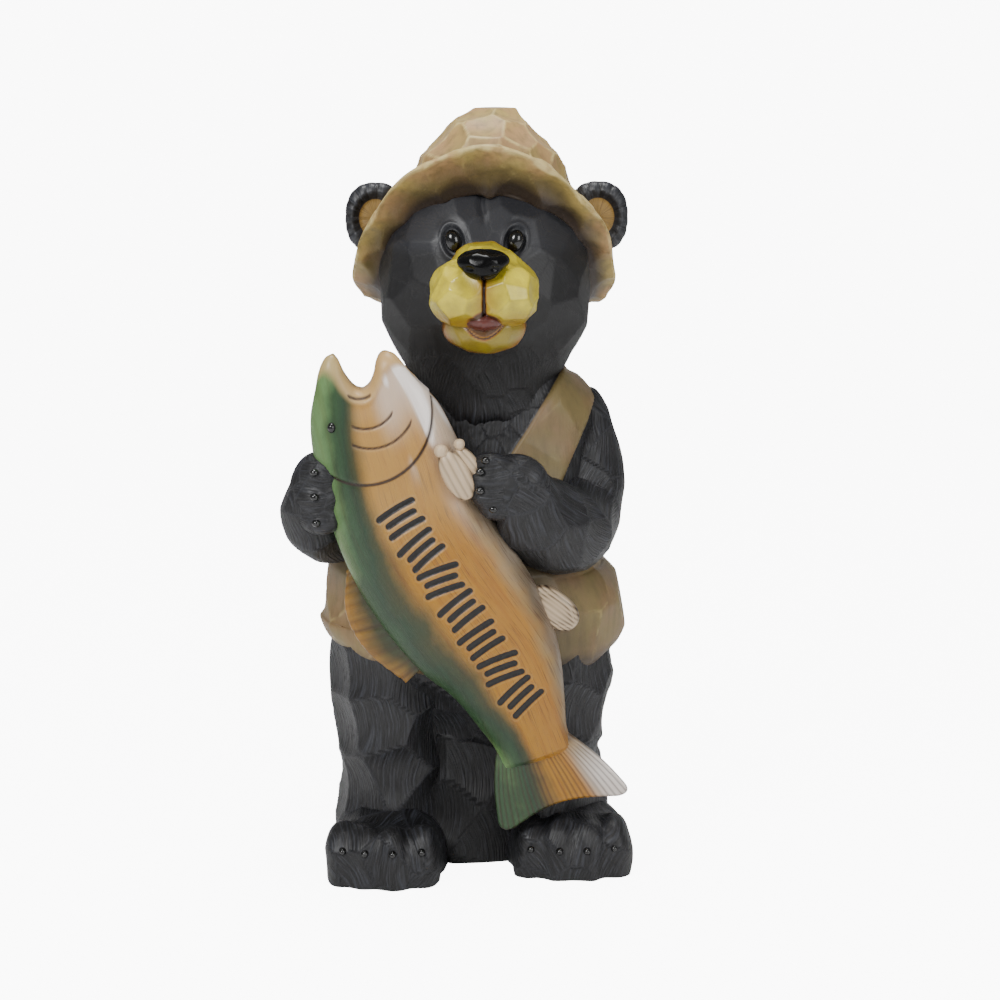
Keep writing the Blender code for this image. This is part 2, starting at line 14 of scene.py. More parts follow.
import bmesh
import bpy
import numpy as np
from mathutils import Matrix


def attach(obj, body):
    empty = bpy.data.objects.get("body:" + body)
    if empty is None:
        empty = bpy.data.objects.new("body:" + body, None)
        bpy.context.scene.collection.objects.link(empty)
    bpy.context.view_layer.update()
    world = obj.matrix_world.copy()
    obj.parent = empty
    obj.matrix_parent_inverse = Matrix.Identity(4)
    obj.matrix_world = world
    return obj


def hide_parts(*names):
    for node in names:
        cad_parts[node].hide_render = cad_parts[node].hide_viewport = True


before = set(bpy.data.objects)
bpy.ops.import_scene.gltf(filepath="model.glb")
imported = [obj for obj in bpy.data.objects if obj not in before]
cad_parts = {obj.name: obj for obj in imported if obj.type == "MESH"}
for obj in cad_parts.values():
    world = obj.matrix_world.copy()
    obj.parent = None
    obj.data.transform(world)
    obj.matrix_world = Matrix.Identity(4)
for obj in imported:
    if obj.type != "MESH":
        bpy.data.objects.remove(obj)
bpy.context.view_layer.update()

# %% [markdown]
# ## Where things are measured from
# Lengths below are millimetres in the bear's own frame: x to the viewer's right from the body's middle line,
# y towards the back, z up from the floor. The statue's frame has its origin under the middle of the whole
# width and depth, so every finished piece is moved by one offset and turned into metres.

# %% The bear's frame
MIDDLE_X = 20.0
MIDDLE_Y = 20.0
METRE = 0.001
SEED = 7


def to_statue(points):
    """Bear millimetres to statue metres: add the offset of the middle line, then divide by a thousand."""
    return (points + np.array([MIDDLE_X, MIDDLE_Y, 0.0])) * METRE


# %% [markdown]
# ## Small tools for shapes
# A smooth curve through a few stations gives a limb its middle line and its thickness. A power with its sign
# kept turns an oval towards a rounded box. A value noise made from a random lattice gives wander and wear,
# the same on every run because its lattice is seeded.

# %% Curves, steps and noise
def through(knots, values, at):
    """Cubic through the values at the knots, with each slope taken from the neighbours on both sides."""
    knots = np.asarray(knots, float)
    values = np.asarray(values, float).reshape(len(knots), -1)
    slopes = np.gradient(values, knots, axis=0)
    shape = np.shape(at)
    at = np.clip(np.ravel(at), knots[0], knots[-1])
    left = np.clip(np.searchsorted(knots, at, side="right") - 1, 0, len(knots) - 2)
    width = (knots[left + 1] - knots[left])[:, None]
    t = ((at - knots[left]) / width[:, 0])[:, None]
    curve = ((1 + 2 * t) * (1 - t) ** 2 * values[left] + t * (1 - t) ** 2 * width * slopes[left]
             + t * t * (3 - 2 * t) * values[left + 1] + t * t * (t - 1) * width * slopes[left + 1])
    return curve.reshape(shape + (-1,))


def signed_power(value, power):
    """|value| to the power, with value's sign."""
    return np.sign(value) * np.abs(value) ** power


def step(low, high, value):
    """0 below low and 1 above high, with 3t^2 - 2t^3 between."""
    t = np.clip((value - low) / (high - low), 0.0, 1.0)
    return t * t * (3 - 2 * t)


def bell(value, width):
    """1 at zero, falling on both sides as exp(-(value / width)^2)."""
    return np.exp(-(value / width) ** 2)


def unit(vectors):
    """Each vector divided by its length."""
    return vectors / np.maximum(np.linalg.norm(vectors, axis=-1, keepdims=True), 1e-9)


def noise(points, size, seed=0):
    """Value noise from -1 to 1: random numbers on a lattice of that size, blended by 3t^2 - 2t^3."""
    lattice = np.random.default_rng(SEED + seed).uniform(-1, 1, (32, 32, 32))
    cell = points / size
    low = np.floor(cell).astype(int)
    t = cell - low
    t = t * t * (3 - 2 * t)
    total = 0.0
    for corner in range(8):
        bits = np.array([corner & 1, corner >> 1 & 1, corner >> 2 & 1])
        weight = np.prod(np.where(bits == 1, t, 1 - t), axis=-1)
        at = (low + bits) % 32
        total = total + weight * lattice[at[..., 0], at[..., 1], at[..., 2]]
    return total


# %% [markdown]
# ## From a grid to a mesh
# A closed form is a grid whose columns run once round it and whose rows run from one end to the other. The
# last column joins the first, and the end rows are drawn together to a point or a line, so a merge of
# doubled points closes the ends. The carving needs the grid's normals: the cross product of the steps along
# rows and columns.
#
# What is seen from the front needs the finest carving, so the columns stand closer there.

# %% Normals and meshes
FRONT_CROWDING = 0.35
MERGE_DISTANCE = 2e-6
SMALL_SHARE = 1e-3
HALVINGS = 24
triangle_total = []


def grid_normals(points):
    """Outward unit normals: the step along the rows crossed with the step round the columns."""
    down = np.gradient(points, axis=0)
    round_step = np.roll(points, -1, axis=1) - np.roll(points, 1, axis=1)
    normals = np.cross(round_step, down)
    size = np.linalg.norm(normals, axis=-1, keepdims=True)
    middle = points.mean(axis=(0, 1))
    return np.where(size > 1e-7, normals / np.maximum(size, 1e-7), unit(points - middle))


def make_piece(name, points, material, facts=None):
    """Puts a closed grid into a mesh: quads between rows, last column joined to the first, ends merged.

    Facts are numbers for each point that the paint reads under their names."""
    rows, columns = points.shape[:2]
    index = np.arange(rows * columns).reshape(rows, columns)
    after = np.roll(index, -1, axis=1)
    quads = np.stack([index[:-1], after[:-1], after[1:], index[1:]], axis=-1).reshape(-1, 4)
    mesh = bpy.data.meshes.new(name)
    mesh.from_pydata(to_statue(points).reshape(-1, 3), [], quads)
    for key, values in (facts or {}).items():
        layer = mesh.attributes.new(key, "FLOAT", "POINT")
        full = np.broadcast_to(values, (rows, columns))
        layer.data.foreach_set("value", np.ascontiguousarray(full, dtype=np.float32).ravel())
    build = bmesh.new()
    build.from_mesh(mesh)
    bmesh.ops.remove_doubles(build, verts=build.verts, dist=MERGE_DISTANCE)
    bmesh.ops.recalc_face_normals(build, faces=build.faces)
    build.to_mesh(mesh)
    build.free()
    mesh.shade_smooth()
    mesh.materials.append(material)
    piece = bpy.data.objects.new(name, mesh)
    bpy.context.scene.collection.objects.link(piece)
    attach(piece, "root")
    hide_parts("carved_bear")
    triangles = sum(len(face.vertices) - 2 for face in mesh.polygons)
    triangle_total.append(triangles)
    print(name, triangles, "triangles")
    return piece


def angles(rows, columns, crowding=0.0, bottom=-90.0):
    """A grid of height angles, bottom row first, and of turns from the front towards +x.

    A turn is s - crowding * sin(s), so that its steps are shortest in front."""
    rise = np.radians(np.linspace(bottom, 90.0, rows))[:, None] * np.ones((1, columns))
    s = np.linspace(0, 2 * np.pi, columns, endpoint=False)
    turn = (s - crowding * np.sin(s))[None, :] * np.ones((rows, 1))
    return rise, turn


def rays_of(rise, turn):
    """Unit vectors (cos r sin t, -cos r cos t, sin r): turn 0 looks to the front, -y."""
    return np.stack([np.cos(rise) * np.sin(turn), -np.cos(rise) * np.cos(turn), np.sin(rise)], axis=-1)


def swept(stations, side, cap, squareness, rows, columns, crowding=FRONT_CROWDING):
    """Oval sections along a smooth line through stations (x, y, z, half width, half depth).

    With s from -1 to 1 along the line, the section's size is (1 - |s|^cap)^(1/cap), and the rows stand a
    little closer towards both ends. Returns points, the line's direction, the share along it and the turn."""
    rise, turn = angles(rows, columns, crowding)
    s = 0.5 * np.sin(rise) + 0.5 * rise / (np.pi / 2)
    along = 0.5 + 0.5 * s
    size = np.clip(1 - np.abs(s) ** cap, 0, 1) ** (1.0 / cap)
    size[[0, -1]] = 0.0
    stations = np.asarray(stations, float)
    knots = np.concatenate([[0], np.cumsum(np.linalg.norm(np.diff(stations[:, :3], axis=0), axis=1))])
    knots = knots / knots[-1]
    line = through(knots, stations, along)
    ahead = unit(through(knots, stations[:, :3], along + SMALL_SHARE)
                 - through(knots, stations[:, :3], along - SMALL_SHARE))
    side = np.asarray(side, float)
    across = unit(side - ahead * (ahead @ side)[..., None])
    depth = np.cross(across, ahead)
    wide = signed_power(np.sin(turn), 2.0 / squareness) * size * line[..., 3]
    deep = signed_power(np.cos(turn), 2.0 / squareness) * size * line[..., 4]
    points = line[..., :3] + across * wide[..., None] + depth * deep[..., None]
    return points, ahead, along, turn


# %% [markdown]
# ### Forms that flow into each other
# A paw, a foot or a muzzle is several lobes grown together. A distance field describes each lobe, a soft
# minimum joins the fields with a fillet, and rays from one inner point find the skin by halving.

# %% Distance fields
def oval(points, centre, half, squareness=2.0):
    """About the distance outside a squared oval ball: (sum |p / half|^n)^(1/n) less one, times its least
    half size."""
    scaled = np.abs((points - np.asarray(centre, float)) / np.asarray(half, float)) ** squareness
    return (scaled.sum(axis=-1) ** (1 / squareness) - 1) * min(half)


def soft_union(fields, blend):
    """The least of several distances, rounded where two are within the blend of each other."""
    total = fields[0]
    for field in fields[1:]:
        share = np.clip(0.5 + 0.5 * (field - total) / blend, 0, 1)
        total = field * (1 - share) + total * share - blend * share * (1 - share)
    return total


def blob(centre, field, reach, rows, columns, crowding=FRONT_CROWDING):
    """The surface of a distance field seen from a point inside it: each ray is halved until it lands."""
    rays = rays_of(*angles(rows, columns, crowding))
    near = np.zeros(rays.shape[:2])
    far = np.full(rays.shape[:2], float(reach))
    centre = np.asarray(centre, float)
    for _ in range(HALVINGS):
        middle = 0.5 * (near + far)
        inside = field(centre + rays * middle[..., None]) < 0
        near = np.where(inside, middle, near)
        far = np.where(inside, far, middle)
    return centre + rays * near[..., None]


# %% [markdown]
# ## Carving
# A gouge takes a shallow bowl out of the surface. Where two bowls meet, a ridge is left. So the carved
# height at a point is the lowest of many bowls, each a paraboloid about its own centre, and the gap between
# the lowest and the next lowest says how near the point is to a ridge.
#
# Fur is cut with a narrow V tool in tufts: inside one bowl the cuts are parallel, and the next bowl has its
# own direction. The widest cuts are in the mesh. The hairlines between them are finer than its quads, so
# each point carries its place across and along its tuft, and the paint's bump draws them from those.

# %% Gouges and fur cuts
MOST_CUTS_TRIED = 2500
CUT_WANDER = 1.0
CUT_WANDER_SIZE = 14.0
CUT_CURVE = 0.006
CUT_LENGTH = 8.0
SEAM_WIDTH = 1.3


def scattered(points, spacing, seed):
    """Cut centres: seeded picks from the surface, none nearer to another than the spacing."""
    flat = points.reshape(-1, 3)
    random = np.random.default_rng(SEED + seed)
    trial = flat[random.integers(0, len(flat), MOST_CUTS_TRIED)]
    picked = trial[:1]
    for place in trial[1:]:
        if np.min(np.sum((picked - place) ** 2, axis=1)) > spacing ** 2:
            picked = np.vstack([picked, place])
    return picked


def gouge(points, spacing, hollow, tilt=0.05, uneven=0.5, seed=0):
    """Lowest bowl at each point: level + hollow * distance^2 + slope . offset, least over all the cuts.

    Returns the height, the gap up to the next bowl turned into millimetres from the ridge, the number of
    the winning cut, and the cuts' centres."""
    centres = scattered(points, spacing, seed)
    random = np.random.default_rng(SEED + seed + 50)
    slopes = random.normal(0, tilt, (len(centres), 3))
    levels = random.uniform(-uneven, uneven, len(centres))
    lowest = np.full(points.shape[:2], 1e9)
    second = np.full(points.shape[:2], 1e9)
    winner = np.zeros(points.shape[:2], int)
    for number in range(len(centres)):
        offset = points - centres[number]
        bowl = levels[number] + hollow * np.sum(offset ** 2, axis=-1) + offset @ slopes[number]
        second = np.minimum(second, np.maximum(bowl, lowest))
        winner = np.where(bowl < lowest, number, winner)
        lowest = np.minimum(lowest, bowl)
    gap = (second - lowest) / (2 * hollow * spacing)
    return lowest - np.median(lowest), gap, winner, centres


def fur_cuts(points, normals, flow, gap, winner, centres, pitch, depth, swing=0.35, seed=0):
    """V cuts inside each tuft: a cosine of the distance across the tuft's own direction, which is the fur's
    flow turned by a random angle. Each cut comes and goes along its length, and ends before the next tuft.

    Returns the height, from -depth to 0, and the places across and along the tuft in millimetres."""
    random = np.random.default_rng(SEED + seed + 90)
    flat = points.reshape(-1, 3)
    rows = np.array([np.argmin(np.sum((flat - centre) ** 2, axis=1)) for centre in centres])
    lay = unit(flow.reshape(-1, 3)[rows])
    up = unit(normals.reshape(-1, 3)[rows])
    lay = unit(lay - up * np.sum(lay * up, axis=1, keepdims=True))
    turn = random.uniform(-swing, swing, len(centres))[:, None]
    lay = lay * np.cos(turn) + np.cross(up, lay) * np.sin(turn)
    cross = np.cross(up, lay)
    offset = points - centres[winner]
    across = np.sum(offset * cross[winner], axis=-1)
    along = np.sum(offset * lay[winner], axis=-1)
    across = across + CUT_WANDER * noise(points, CUT_WANDER_SIZE, seed + 1)
    across = across + CUT_CURVE * along * along * np.sign(turn[winner][..., 0])
    phase = across / pitch
    which = np.floor(phase)
    start = np.modf(np.abs(np.sin(which * 12.9898 + winner * 78.233)) * 437.58)[0]
    strength = step(-0.6, 0.5, np.cos(2 * np.pi * (along / (CUT_LENGTH * pitch) + start)))
    cut = (0.5 + 0.5 * np.cos(2 * np.pi * phase)) ** 1.6
    return -depth * cut * (0.1 + 0.9 * strength * start) * step(0.2, 2.0, gap), across + 37.0 * winner, along


def fur_facts(cuts, gap, across, along, ridge_width=1.6):
    """What the fur paint follows: ridge, 1 on a ridge between bowls; seam, 1 where two tufts meet; relief, 1
    outside the cuts and 0 at the bottom of the deepest; and the places across and along the tuft."""
    deepest = min(np.percentile(cuts, 2), -1e-3)
    return {"ridge": bell(gap, ridge_width), "relief": np.clip(1 - cuts / deepest, 0, 1),
            "seam": bell(gap, SEAM_WIDTH), "hair_across": across, "hair_along": along}


# %% [markdown]
# ## Paint
# The resin is never seen: what shows is craft paint under a thin satin varnish. Each finish is a Principled
# shader whose base colour is mixed from a body colour, a darker wash that settles in the cuts, and a paler
# dry brush on the ridges. Colours are written as sRGB hex values, and one function turns them linear,
# because Blender mixes light in linear values.

# %% Colour and node helpers
def linear(code, alpha=1.0):
    """sRGB hex to linear: c / 12.92 below 0.04045, otherwise ((c + 0.055) / 1.055) ^ 2.4."""
    values = [int(code[i:i + 2], 16) / 255 for i in (1, 3, 5)]
    return tuple(v / 12.92 if v <= 0.04045 else ((v + 0.055) / 1.055) ** 2.4 for v in values) + (alpha,)


def add(tree, kind, inputs=None, stops=None, **settings):
    """Adds one node: sets its properties, fills or links its inputs, and sets a ramp's colour stops."""
    node = tree.nodes.new(kind)
    for key, value in settings.items():
        setattr(node, key, value)
    for key, value in (inputs or {}).items():
        if isinstance(value, bpy.types.NodeSocket):
            tree.links.new(value, node.inputs[key])
        else:
            node.inputs[key].default_value = value
    if stops:
        ramp = node.color_ramp
        while len(ramp.elements) < len(stops):
            ramp.elements.new(0.5)
        for element, (place, colour) in zip(ramp.elements, stops):
            element.position = place
            element.color = linear(colour)
    return node


def mix(tree, share, first, second, blend="MIX"):
    """The colour that lies the given share of the way from the first to the second."""
    node = add(tree, "ShaderNodeMix", {0: share, 6: first, 7: second}, data_type="RGBA", blend_type=blend)
    return node.outputs[2]


def scaled(tree, value, low, high, out_low=0.0, out_high=1.0):
    """A value's range turned into another, held at both ends."""
    names = {"Value": value, "From Min": low, "From Max": high, "To Min": out_low, "To Max": out_high}
    return add(tree, "ShaderNodeMapRange", names).outputs[0]


def maths(tree, first, second, operation):
    """One sum, product or power of two numbers."""
    return add(tree, "ShaderNodeMath", {0: first, 1: second}, operation=operation).outputs[0]


def fact(tree, name):
    """The number a piece carries under that name."""
    return add(tree, "ShaderNodeAttribute", attribute_name=name).outputs["Fac"]


def speckle(tree, millimetres, detail=3.0, stretch=(1, 1, 1)):
    """Noise on Object coordinates whose main blotches are about that many millimetres wide."""
    place = add(tree, "ShaderNodeTexCoord").outputs["Object"]
    place = add(tree, "ShaderNodeMapping", {"Vector": place, "Scale": stretch}).outputs[0]
    names = {"Vector": place, "Scale": 1.0 / (millimetres * METRE), "Detail": detail}
    return add(tree, "ShaderNodeTexNoise", names).outputs["Fac"]


def lines(tree, across, along, width, length, detail=2.0):
    """Long thin streaks: noise on two of a piece's numbers, width millimetres across and length along."""
    run = add(tree, "ShaderNodeCombineXYZ", {0: across, 1: along}).outputs[0]
    scale = (1.0 / width, 1.0 / length, 1.0)
    place = add(tree, "ShaderNodeMapping", {"Vector": run, "Scale": scale}).outputs[0]
    return add(tree, "ShaderNodeTexNoise", {"Vector": place, "Scale": 1.0, "Detail": detail}).outputs["Fac"]


def new_paint(name, roughness, coat=0.0, coat_roughness=0.2):
    """A painted finish: its material, its tree and its shader."""
    material = bpy.data.materials.new(name)
    material.use_nodes = True
    tree = material.node_tree
    shader = tree.nodes["Principled BSDF"]
    shader.inputs["Roughness"].default_value = roughness
    shader.inputs["Coat Weight"].default_value = coat
    shader.inputs["Coat Roughness"].default_value = coat_roughness
    return material, tree, shader


def bump(tree, shader, height, millimetres):
    """A height from 0 to 1 pressed into the surface's shading, that many millimetres deep."""
    names = {"Height": height, "Distance": millimetres * METRE, "Strength": 1.0}
    tree.links.new(add(tree, "ShaderNodeBump", names).outputs[0], shader.inputs["Normal"])


# %% [markdown]
# ### Black fur paint
# The fur is a satin black craft paint. Soft light on its cuts looks bluish grey, and a little grey was
# brushed over the crests, so the crests are lighter than the rest. The bottoms of the cuts and of the fine
# hairlines are darkened with painted shade.

# %% Fur paint
FUR_CUT_SHADE = linear("#0b0b0c")
FUR_BODY = linear("#161618")
FUR_CREST = linear("#33353c")


def fur_colour(tree):
    """Painted shade in deep black at the bottoms of the cuts and hairlines, charcoal on the body, slate on
    ridges and hair crests.
    """
    hair = lines(tree, fact(tree, "hair_across"), fact(tree, "hair_along"), 1.5, 30.0)
    calm = scaled(tree, maths(tree, fact(tree, "seam"), fact(tree, "smooth"), "MAXIMUM"), 0.0, 1.0, 1.0, 0.0)
    hair = maths(tree, maths(tree, maths(tree, hair, 0.5, "SUBTRACT"), calm, "MULTIPLY"), 0.5, "ADD")
    # Painted shade: the bottoms of the cuts and of the fine hairlines turn deep black.
    body = mix(tree, scaled(tree, fact(tree, "relief"), 0.0, 0.7), FUR_CUT_SHADE, FUR_BODY)
    body = mix(tree, scaled(tree, hair, 0.34, 0.5, 0.8, 0.0), body, FUR_CUT_SHADE)
    body = mix(tree, scaled(tree, hair, 0.5, 0.7, 0.0, 0.9), body, FUR_CREST)
    body = mix(tree, scaled(tree, fact(tree, "ridge"), 0.3, 1.3, 0.0, 0.6), body, FUR_CREST)
    return body, hair


def make_fur_paint():
    """Satin black, its hairlines pressed in as a bump, and darkened with painted shade, rougher too, where
    its painted shade number is 1.
    """
    material, tree, shader = new_paint("fur_satin_black_paint", 0.48, coat=0.08, coat_roughness=0.3)
    body, hair = fur_colour(tree)
    # Painted shade: near black, and rougher, where the piece marks shade.
    body = mix(tree, scaled(tree, fact(tree, "painted_shade"), 0.0, 1.0, 0.0, 0.75), body, linear("#060606"))
    tree.links.new(body, shader.inputs["Base Color"])
    tree.links.new(scaled(tree, fact(tree, "painted_shade"), 0.0, 1.0, 0.48, 0.65), shader.inputs["Roughness"])
    bump(tree, shader, hair, 1.3)
    return material


fur_paint = make_fur_paint()

# %% [markdown]
# ### Khaki cloth paint
# Hat and vest are the same khaki, made paler by painted light where the light falls most. The flats of the
# gouge cuts carry a thin pinkish brown wash and the ridges a pale yellow dry brush. A dark brown airbrush
# together with painted shade darkens the places under the brim and beside the arms. That darkening is a
# number called shade, worked out on each piece.
#
# The vest's edge is a number too, the distance inside its outline in millimetres, so paint and relief
# change at the same line, and the line stays crisp however coarse the quads are.

# %% Cloth paint
def make_cloth_paint():
    """Khaki, paler with painted light, pinkish in the cuts, pale on ridges, brown with airbrush and painted
    shade where shade is high, fur outside the vest's edge.
    """
    material, tree, shader = new_paint("cloth_satin_khaki_paint", 0.5, coat=0.12, coat_roughness=0.35)
    wash = scaled(tree, speckle(tree, 32.0), 0.4, 0.62)
    # Painted light: a paler khaki where the light falls most.
    olive = mix(tree, wash, linear("#78683f"), linear("#7f6645"))
    painted_light = mix(tree, wash, linear("#b49b58"), linear("#b38e5f"))
    body = mix(tree, fact(tree, "painted_light"), olive, painted_light)
    streak = scaled(tree, speckle(tree, 6.0, stretch=(1, 1, 0.25)), 0.45, 0.72, 0.0, 0.45)
    body = mix(tree, streak, body, linear("#5f5231"))
    pale = maths(tree, fact(tree, "ridge"), scaled(tree, speckle(tree, 10.0), 0.3, 0.6), "MULTIPLY")
    body = mix(tree, scaled(tree, pale, 0.1, 0.8, 0.0, 0.7), body, linear("#d6c384"))
    body = mix(tree, fact(tree, "shade"), body, linear("#2a1e15"))
    cloth_edge = scaled(tree, fact(tree, "edge"), -0.9, 0.2)
    fur, hair = fur_colour(tree)
    body = mix(tree, cloth_edge, fur, body)
    tree.links.new(body, shader.inputs["Base Color"])
    grain = maths(tree, speckle(tree, 2.2, detail=4.0, stretch=(1, 1, 0.4)), 0.4, "MULTIPLY")
    hair_share = scaled(tree, cloth_edge, 0.0, 1.0, 1.0, 0.0)
    relief = maths(tree, grain, maths(tree, hair, hair_share, "MULTIPLY"), "ADD")
    bump(tree, shader, relief, 0.5)
    return material


cloth_paint = make_cloth_paint()

# %% [markdown]
# ### Muzzle, ears and gloss black
# The muzzle is yellow with an orange brown airbrush where it meets the fur, and painted shade darkens its
# underside, the open mouth and the back of the chin and tongue. The ears are black outside and ochre inside.
# Nose, eyes and claws are the one place with full gloss: a black enamel that mirrors the studio lights.

# %% Face paints
def make_muzzle_paint():
    """Yellow, turned olive by olive, then orange brown and dark brown by shade, which holds airbrush and
    painted shade, and pink where pink is 1.
    """
    material, tree, shader = new_paint("muzzle_satin_yellow_paint", 0.36, coat=0.3, coat_roughness=0.2)
    body = mix(tree, scaled(tree, speckle(tree, 13.0), 0.35, 0.65), linear("#dccb31"), linear("#bba92f"))
    body = mix(tree, scaled(tree, fact(tree, "olive"), 0.0, 1.0, 0.0, 0.75), body, linear("#6f6220"))
    shade = fact(tree, "shade")
    body = mix(tree, scaled(tree, shade, 0.0, 0.55), body, linear("#93621f"))
    body = mix(tree, scaled(tree, shade, 0.5, 1.0), body, linear("#2c170b"))
    body = mix(tree, fact(tree, "pink"), body, linear("#5c2a22"))
    tree.links.new(body, shader.inputs["Base Color"])
    bump(tree, shader, speckle(tree, 2.4, detail=3.0), 0.25)
    return material


def make_ear_paint():
    """Fur black, with ochre in the hollow where hollow is 1."""
    material, tree, shader = new_paint("ear_satin_paint", 0.45, coat=0.15, coat_roughness=0.35)
    fur, hair = fur_colour(tree)
    inner = mix(tree, scaled(tree, hair, 0.5, 0.8), linear("#9c7c42"), linear("#4a371a"))
    body = mix(tree, scaled(tree, fact(tree, "hollow"), 0.35, 0.65), fur, inner)
    tree.links.new(body, shader.inputs["Base Color"])
    bump(tree, shader, hair, 0.5)
    return material


def make_gloss_black():
    """Black enamel: a smooth dark body under a clear coat, which is thinner where calm is 1."""
    material, tree, shader = new_paint("gloss_black_enamel", 0.2, coat=0.6, coat_roughness=0.08)
    calm = fact(tree, "calm")
    tree.links.new(scaled(tree, calm, 0.0, 1.0, 0.6, 0.12), shader.inputs["Coat Weight"])
    tree.links.new(scaled(tree, calm, 0.0, 1.0, 0.5, 0.15), shader.inputs["Specular IOR Level"])
    body = mix(tree, speckle(tree, 3.0), linear("#060606"), linear("#0c0c0d"))
    tree.links.new(body, shader.inputs["Base Color"])
    bump(tree, shader, speckle(tree, 2.5), 0.08)
    return material


muzzle_paint = make_muzzle_paint()
ear_paint = make_ear_paint()
gloss_black = make_gloss_black()

# %% [markdown]
# ### Fish paint
# The trout is airbrushed across its body: dark green along the back, then ochre, then tan, then a pearl
# belly. Under the paint the wood grain runs from head to tail, and a thin brown wash has settled in it. Each
# fish piece carries tone, from -1 at the green back to 1 at the pearl belly, and its places across and along
# the body in millimetres, so the pattern bends with the fish. Pearl is glossier than the rest, and on the
# lower jaw white streaks of painted highlight are added to it.

# %% Fish paint
FISH_STOPS = [(0.0, "#62834f"), (0.09, "#2d4a2b"), (0.17, "#233b25"), (0.25, "#3a3c1e"), (0.31, "#735822"),
              (0.38, "#a37218"), (0.82, "#a67324"), (0.90, "#97794a"), (0.96, "#83745e"), (1.0, "#958878")]


def make_fish_paint():
    """A ramp over tone, brown grain along the body, pearl with painted highlights, dark enamel in the
    strokes, brown in drawn lines.
    """
    material, tree, shader = new_paint("fish_airbrushed_pearl_paint", 0.4, coat=0.2, coat_roughness=0.14)
    tree.links.new(scaled(tree, fact(tree, "pearl_and_painted_highlights"), 0.1, 0.8, 0.12, 0.7), shader.inputs["Coat Weight"])
    tone = fact(tree, "tone")
    across = fact(tree, "across")
    along = fact(tree, "along")
    drift = scaled(tree, speckle(tree, 30.0), 0.3, 0.7, -0.06, 0.06)
    place = scaled(tree, maths(tree, tone, drift, "ADD"), -1.0, 1.0)
    body = add(tree, "ShaderNodeValToRGB", {"Fac": place}, FISH_STOPS).outputs[0]
    fine = lines(tree, across, along, 0.7, 30.0, detail=3.0)
    wide = lines(tree, across, along, 5.0, 60.0)
    stained = mix(tree, 1.0, body, linear("#cf9a52"), "MULTIPLY")
    body = mix(tree, scaled(tree, wide, 0.45, 0.7, 0.0, 0.35), body, stained)
    brown = maths(tree, scaled(tree, fine, 0.56, 0.66), fact(tree, "grain"), "MULTIPLY")
    brown = maths(tree, brown, scaled(tree, tone, -0.5, -0.1, 0.15, 0.6), "MULTIPLY")
    body = mix(tree, brown, body, linear("#4b2c14"))
    body = mix(tree, fact(tree, "rim"), body, linear("#c7a670"))
    # Pearl paint, with painted highlights streaked on the lower jaw.
    body = mix(tree, fact(tree, "pearl_and_painted_highlights"), body, linear("#efe6df"))
    body = mix(tree, fact(tree, "shade"), body, linear("#33200f"))
    body = mix(tree, scaled(tree, fact(tree, "line"), 1.9, 0.7, 0.0, 0.92), body, linear("#2a180b"))
    distance = fact(tree, "stroke")
    halo = maths(tree, scaled(tree, distance, 2.0, 1.2), scaled(tree, distance, 0.0, 0.4), "MULTIPLY")
    body = mix(tree, maths(tree, halo, 0.15, "MULTIPLY"), body, linear("#caa46c"))
    body = mix(tree, scaled(tree, distance, 0.3, -0.3), body, linear("#0d0a08"))
    tree.links.new(body, shader.inputs["Base Color"])
    bump(tree, shader, maths(tree, fine, fact(tree, "grain"), "MULTIPLY"), 0.45)
    return material


fish_paint = make_fish_paint()

# %% [markdown]
# ## The hat
# The bucket hat sits far back on the head. Its brim is turned up in front, so from the front its underside
# stands round the face like a halo, and the crown rises behind it to a small flat top.
#
# The rim is a tipped, saddle-shaped oval, and so is the line where the hat meets the head. The brim is a
# ring whose flat section reaches from one to the other, and the crown grows up from the head line.

# %% Hat sizes and lines
RIM_HALF = (105.0, 95.0)
RIM_MIDDLE = 496.5
RIM_TILT = 73.0
RIM_SADDLE = 16.5
HEAD_LINE_HALF = (80.0, 59.0)
HEAD_LINE_MIDDLE_Y = 4.0
HEAD_LINE_SIDE = 462.0
HEAD_LINE_FRONT = 85.0
HEAD_LINE_BACK = 36.0
HAT_TOP = 609.6
HAT_RIDGE_WIDTH = 1.5


def rim_line(turn):
    """x = a sin t, y = -b cos t, z = middle + tilt cos t + saddle cos 2t."""
    return np.stack([RIM_HALF[0] * np.sin(turn), -RIM_HALF[1] * np.cos(turn),
                     RIM_MIDDLE + RIM_TILT * np.cos(turn) + RIM_SADDLE * np.cos(2 * turn)], axis=-1)


def head_line(turn):
    """The same kind of oval, with one tilt in front and a smaller one behind."""
    lift = np.where(np.cos(turn) > 0, HEAD_LINE_FRONT, HEAD_LINE_BACK) * np.cos(turn)
    return np.stack([HEAD_LINE_HALF[0] * np.sin(turn), HEAD_LINE_MIDDLE_Y - HEAD_LINE_HALF[1] * np.cos(turn),
                     HEAD_LINE_SIDE + lift], axis=-1)


def cloth_facts(gap, ridge_width, painted_light, shade, edge=20.0):
    """The cloth paint's numbers on a hat piece, which has no fur on it."""
    return {"ridge": bell(gap, ridge_width), "painted_light": painted_light, "shade": shade, "edge": edge, "relief": 1.0,
            "hair_across": 0.0, "hair_along": 0.0}


# %% [markdown]
# The brim's underside is cut in broad scoops. It darkens towards the head with airbrush and painted shade,
# more on the viewer's right, and over the brow its inner line dips a little. Painted light makes the upper
# face and the outer half of the ring paler, and the rim carries the palest dry brush with a painted
# highlight.

# %% The brim
BRIM_THICKNESS = 4.0
BRIM_SAG = 5.0
HAIRLINE_DIP = 3.0
HAIRLINE_DIP_X = 4.0
BRIM_COLUMNS = 64
BRIM_ROWS = 301
BRIM_SCOOPS = dict(spacing=27.0, hollow=0.0095, seed=1)
BRIM_SCOOP_DEPTH = 2.2


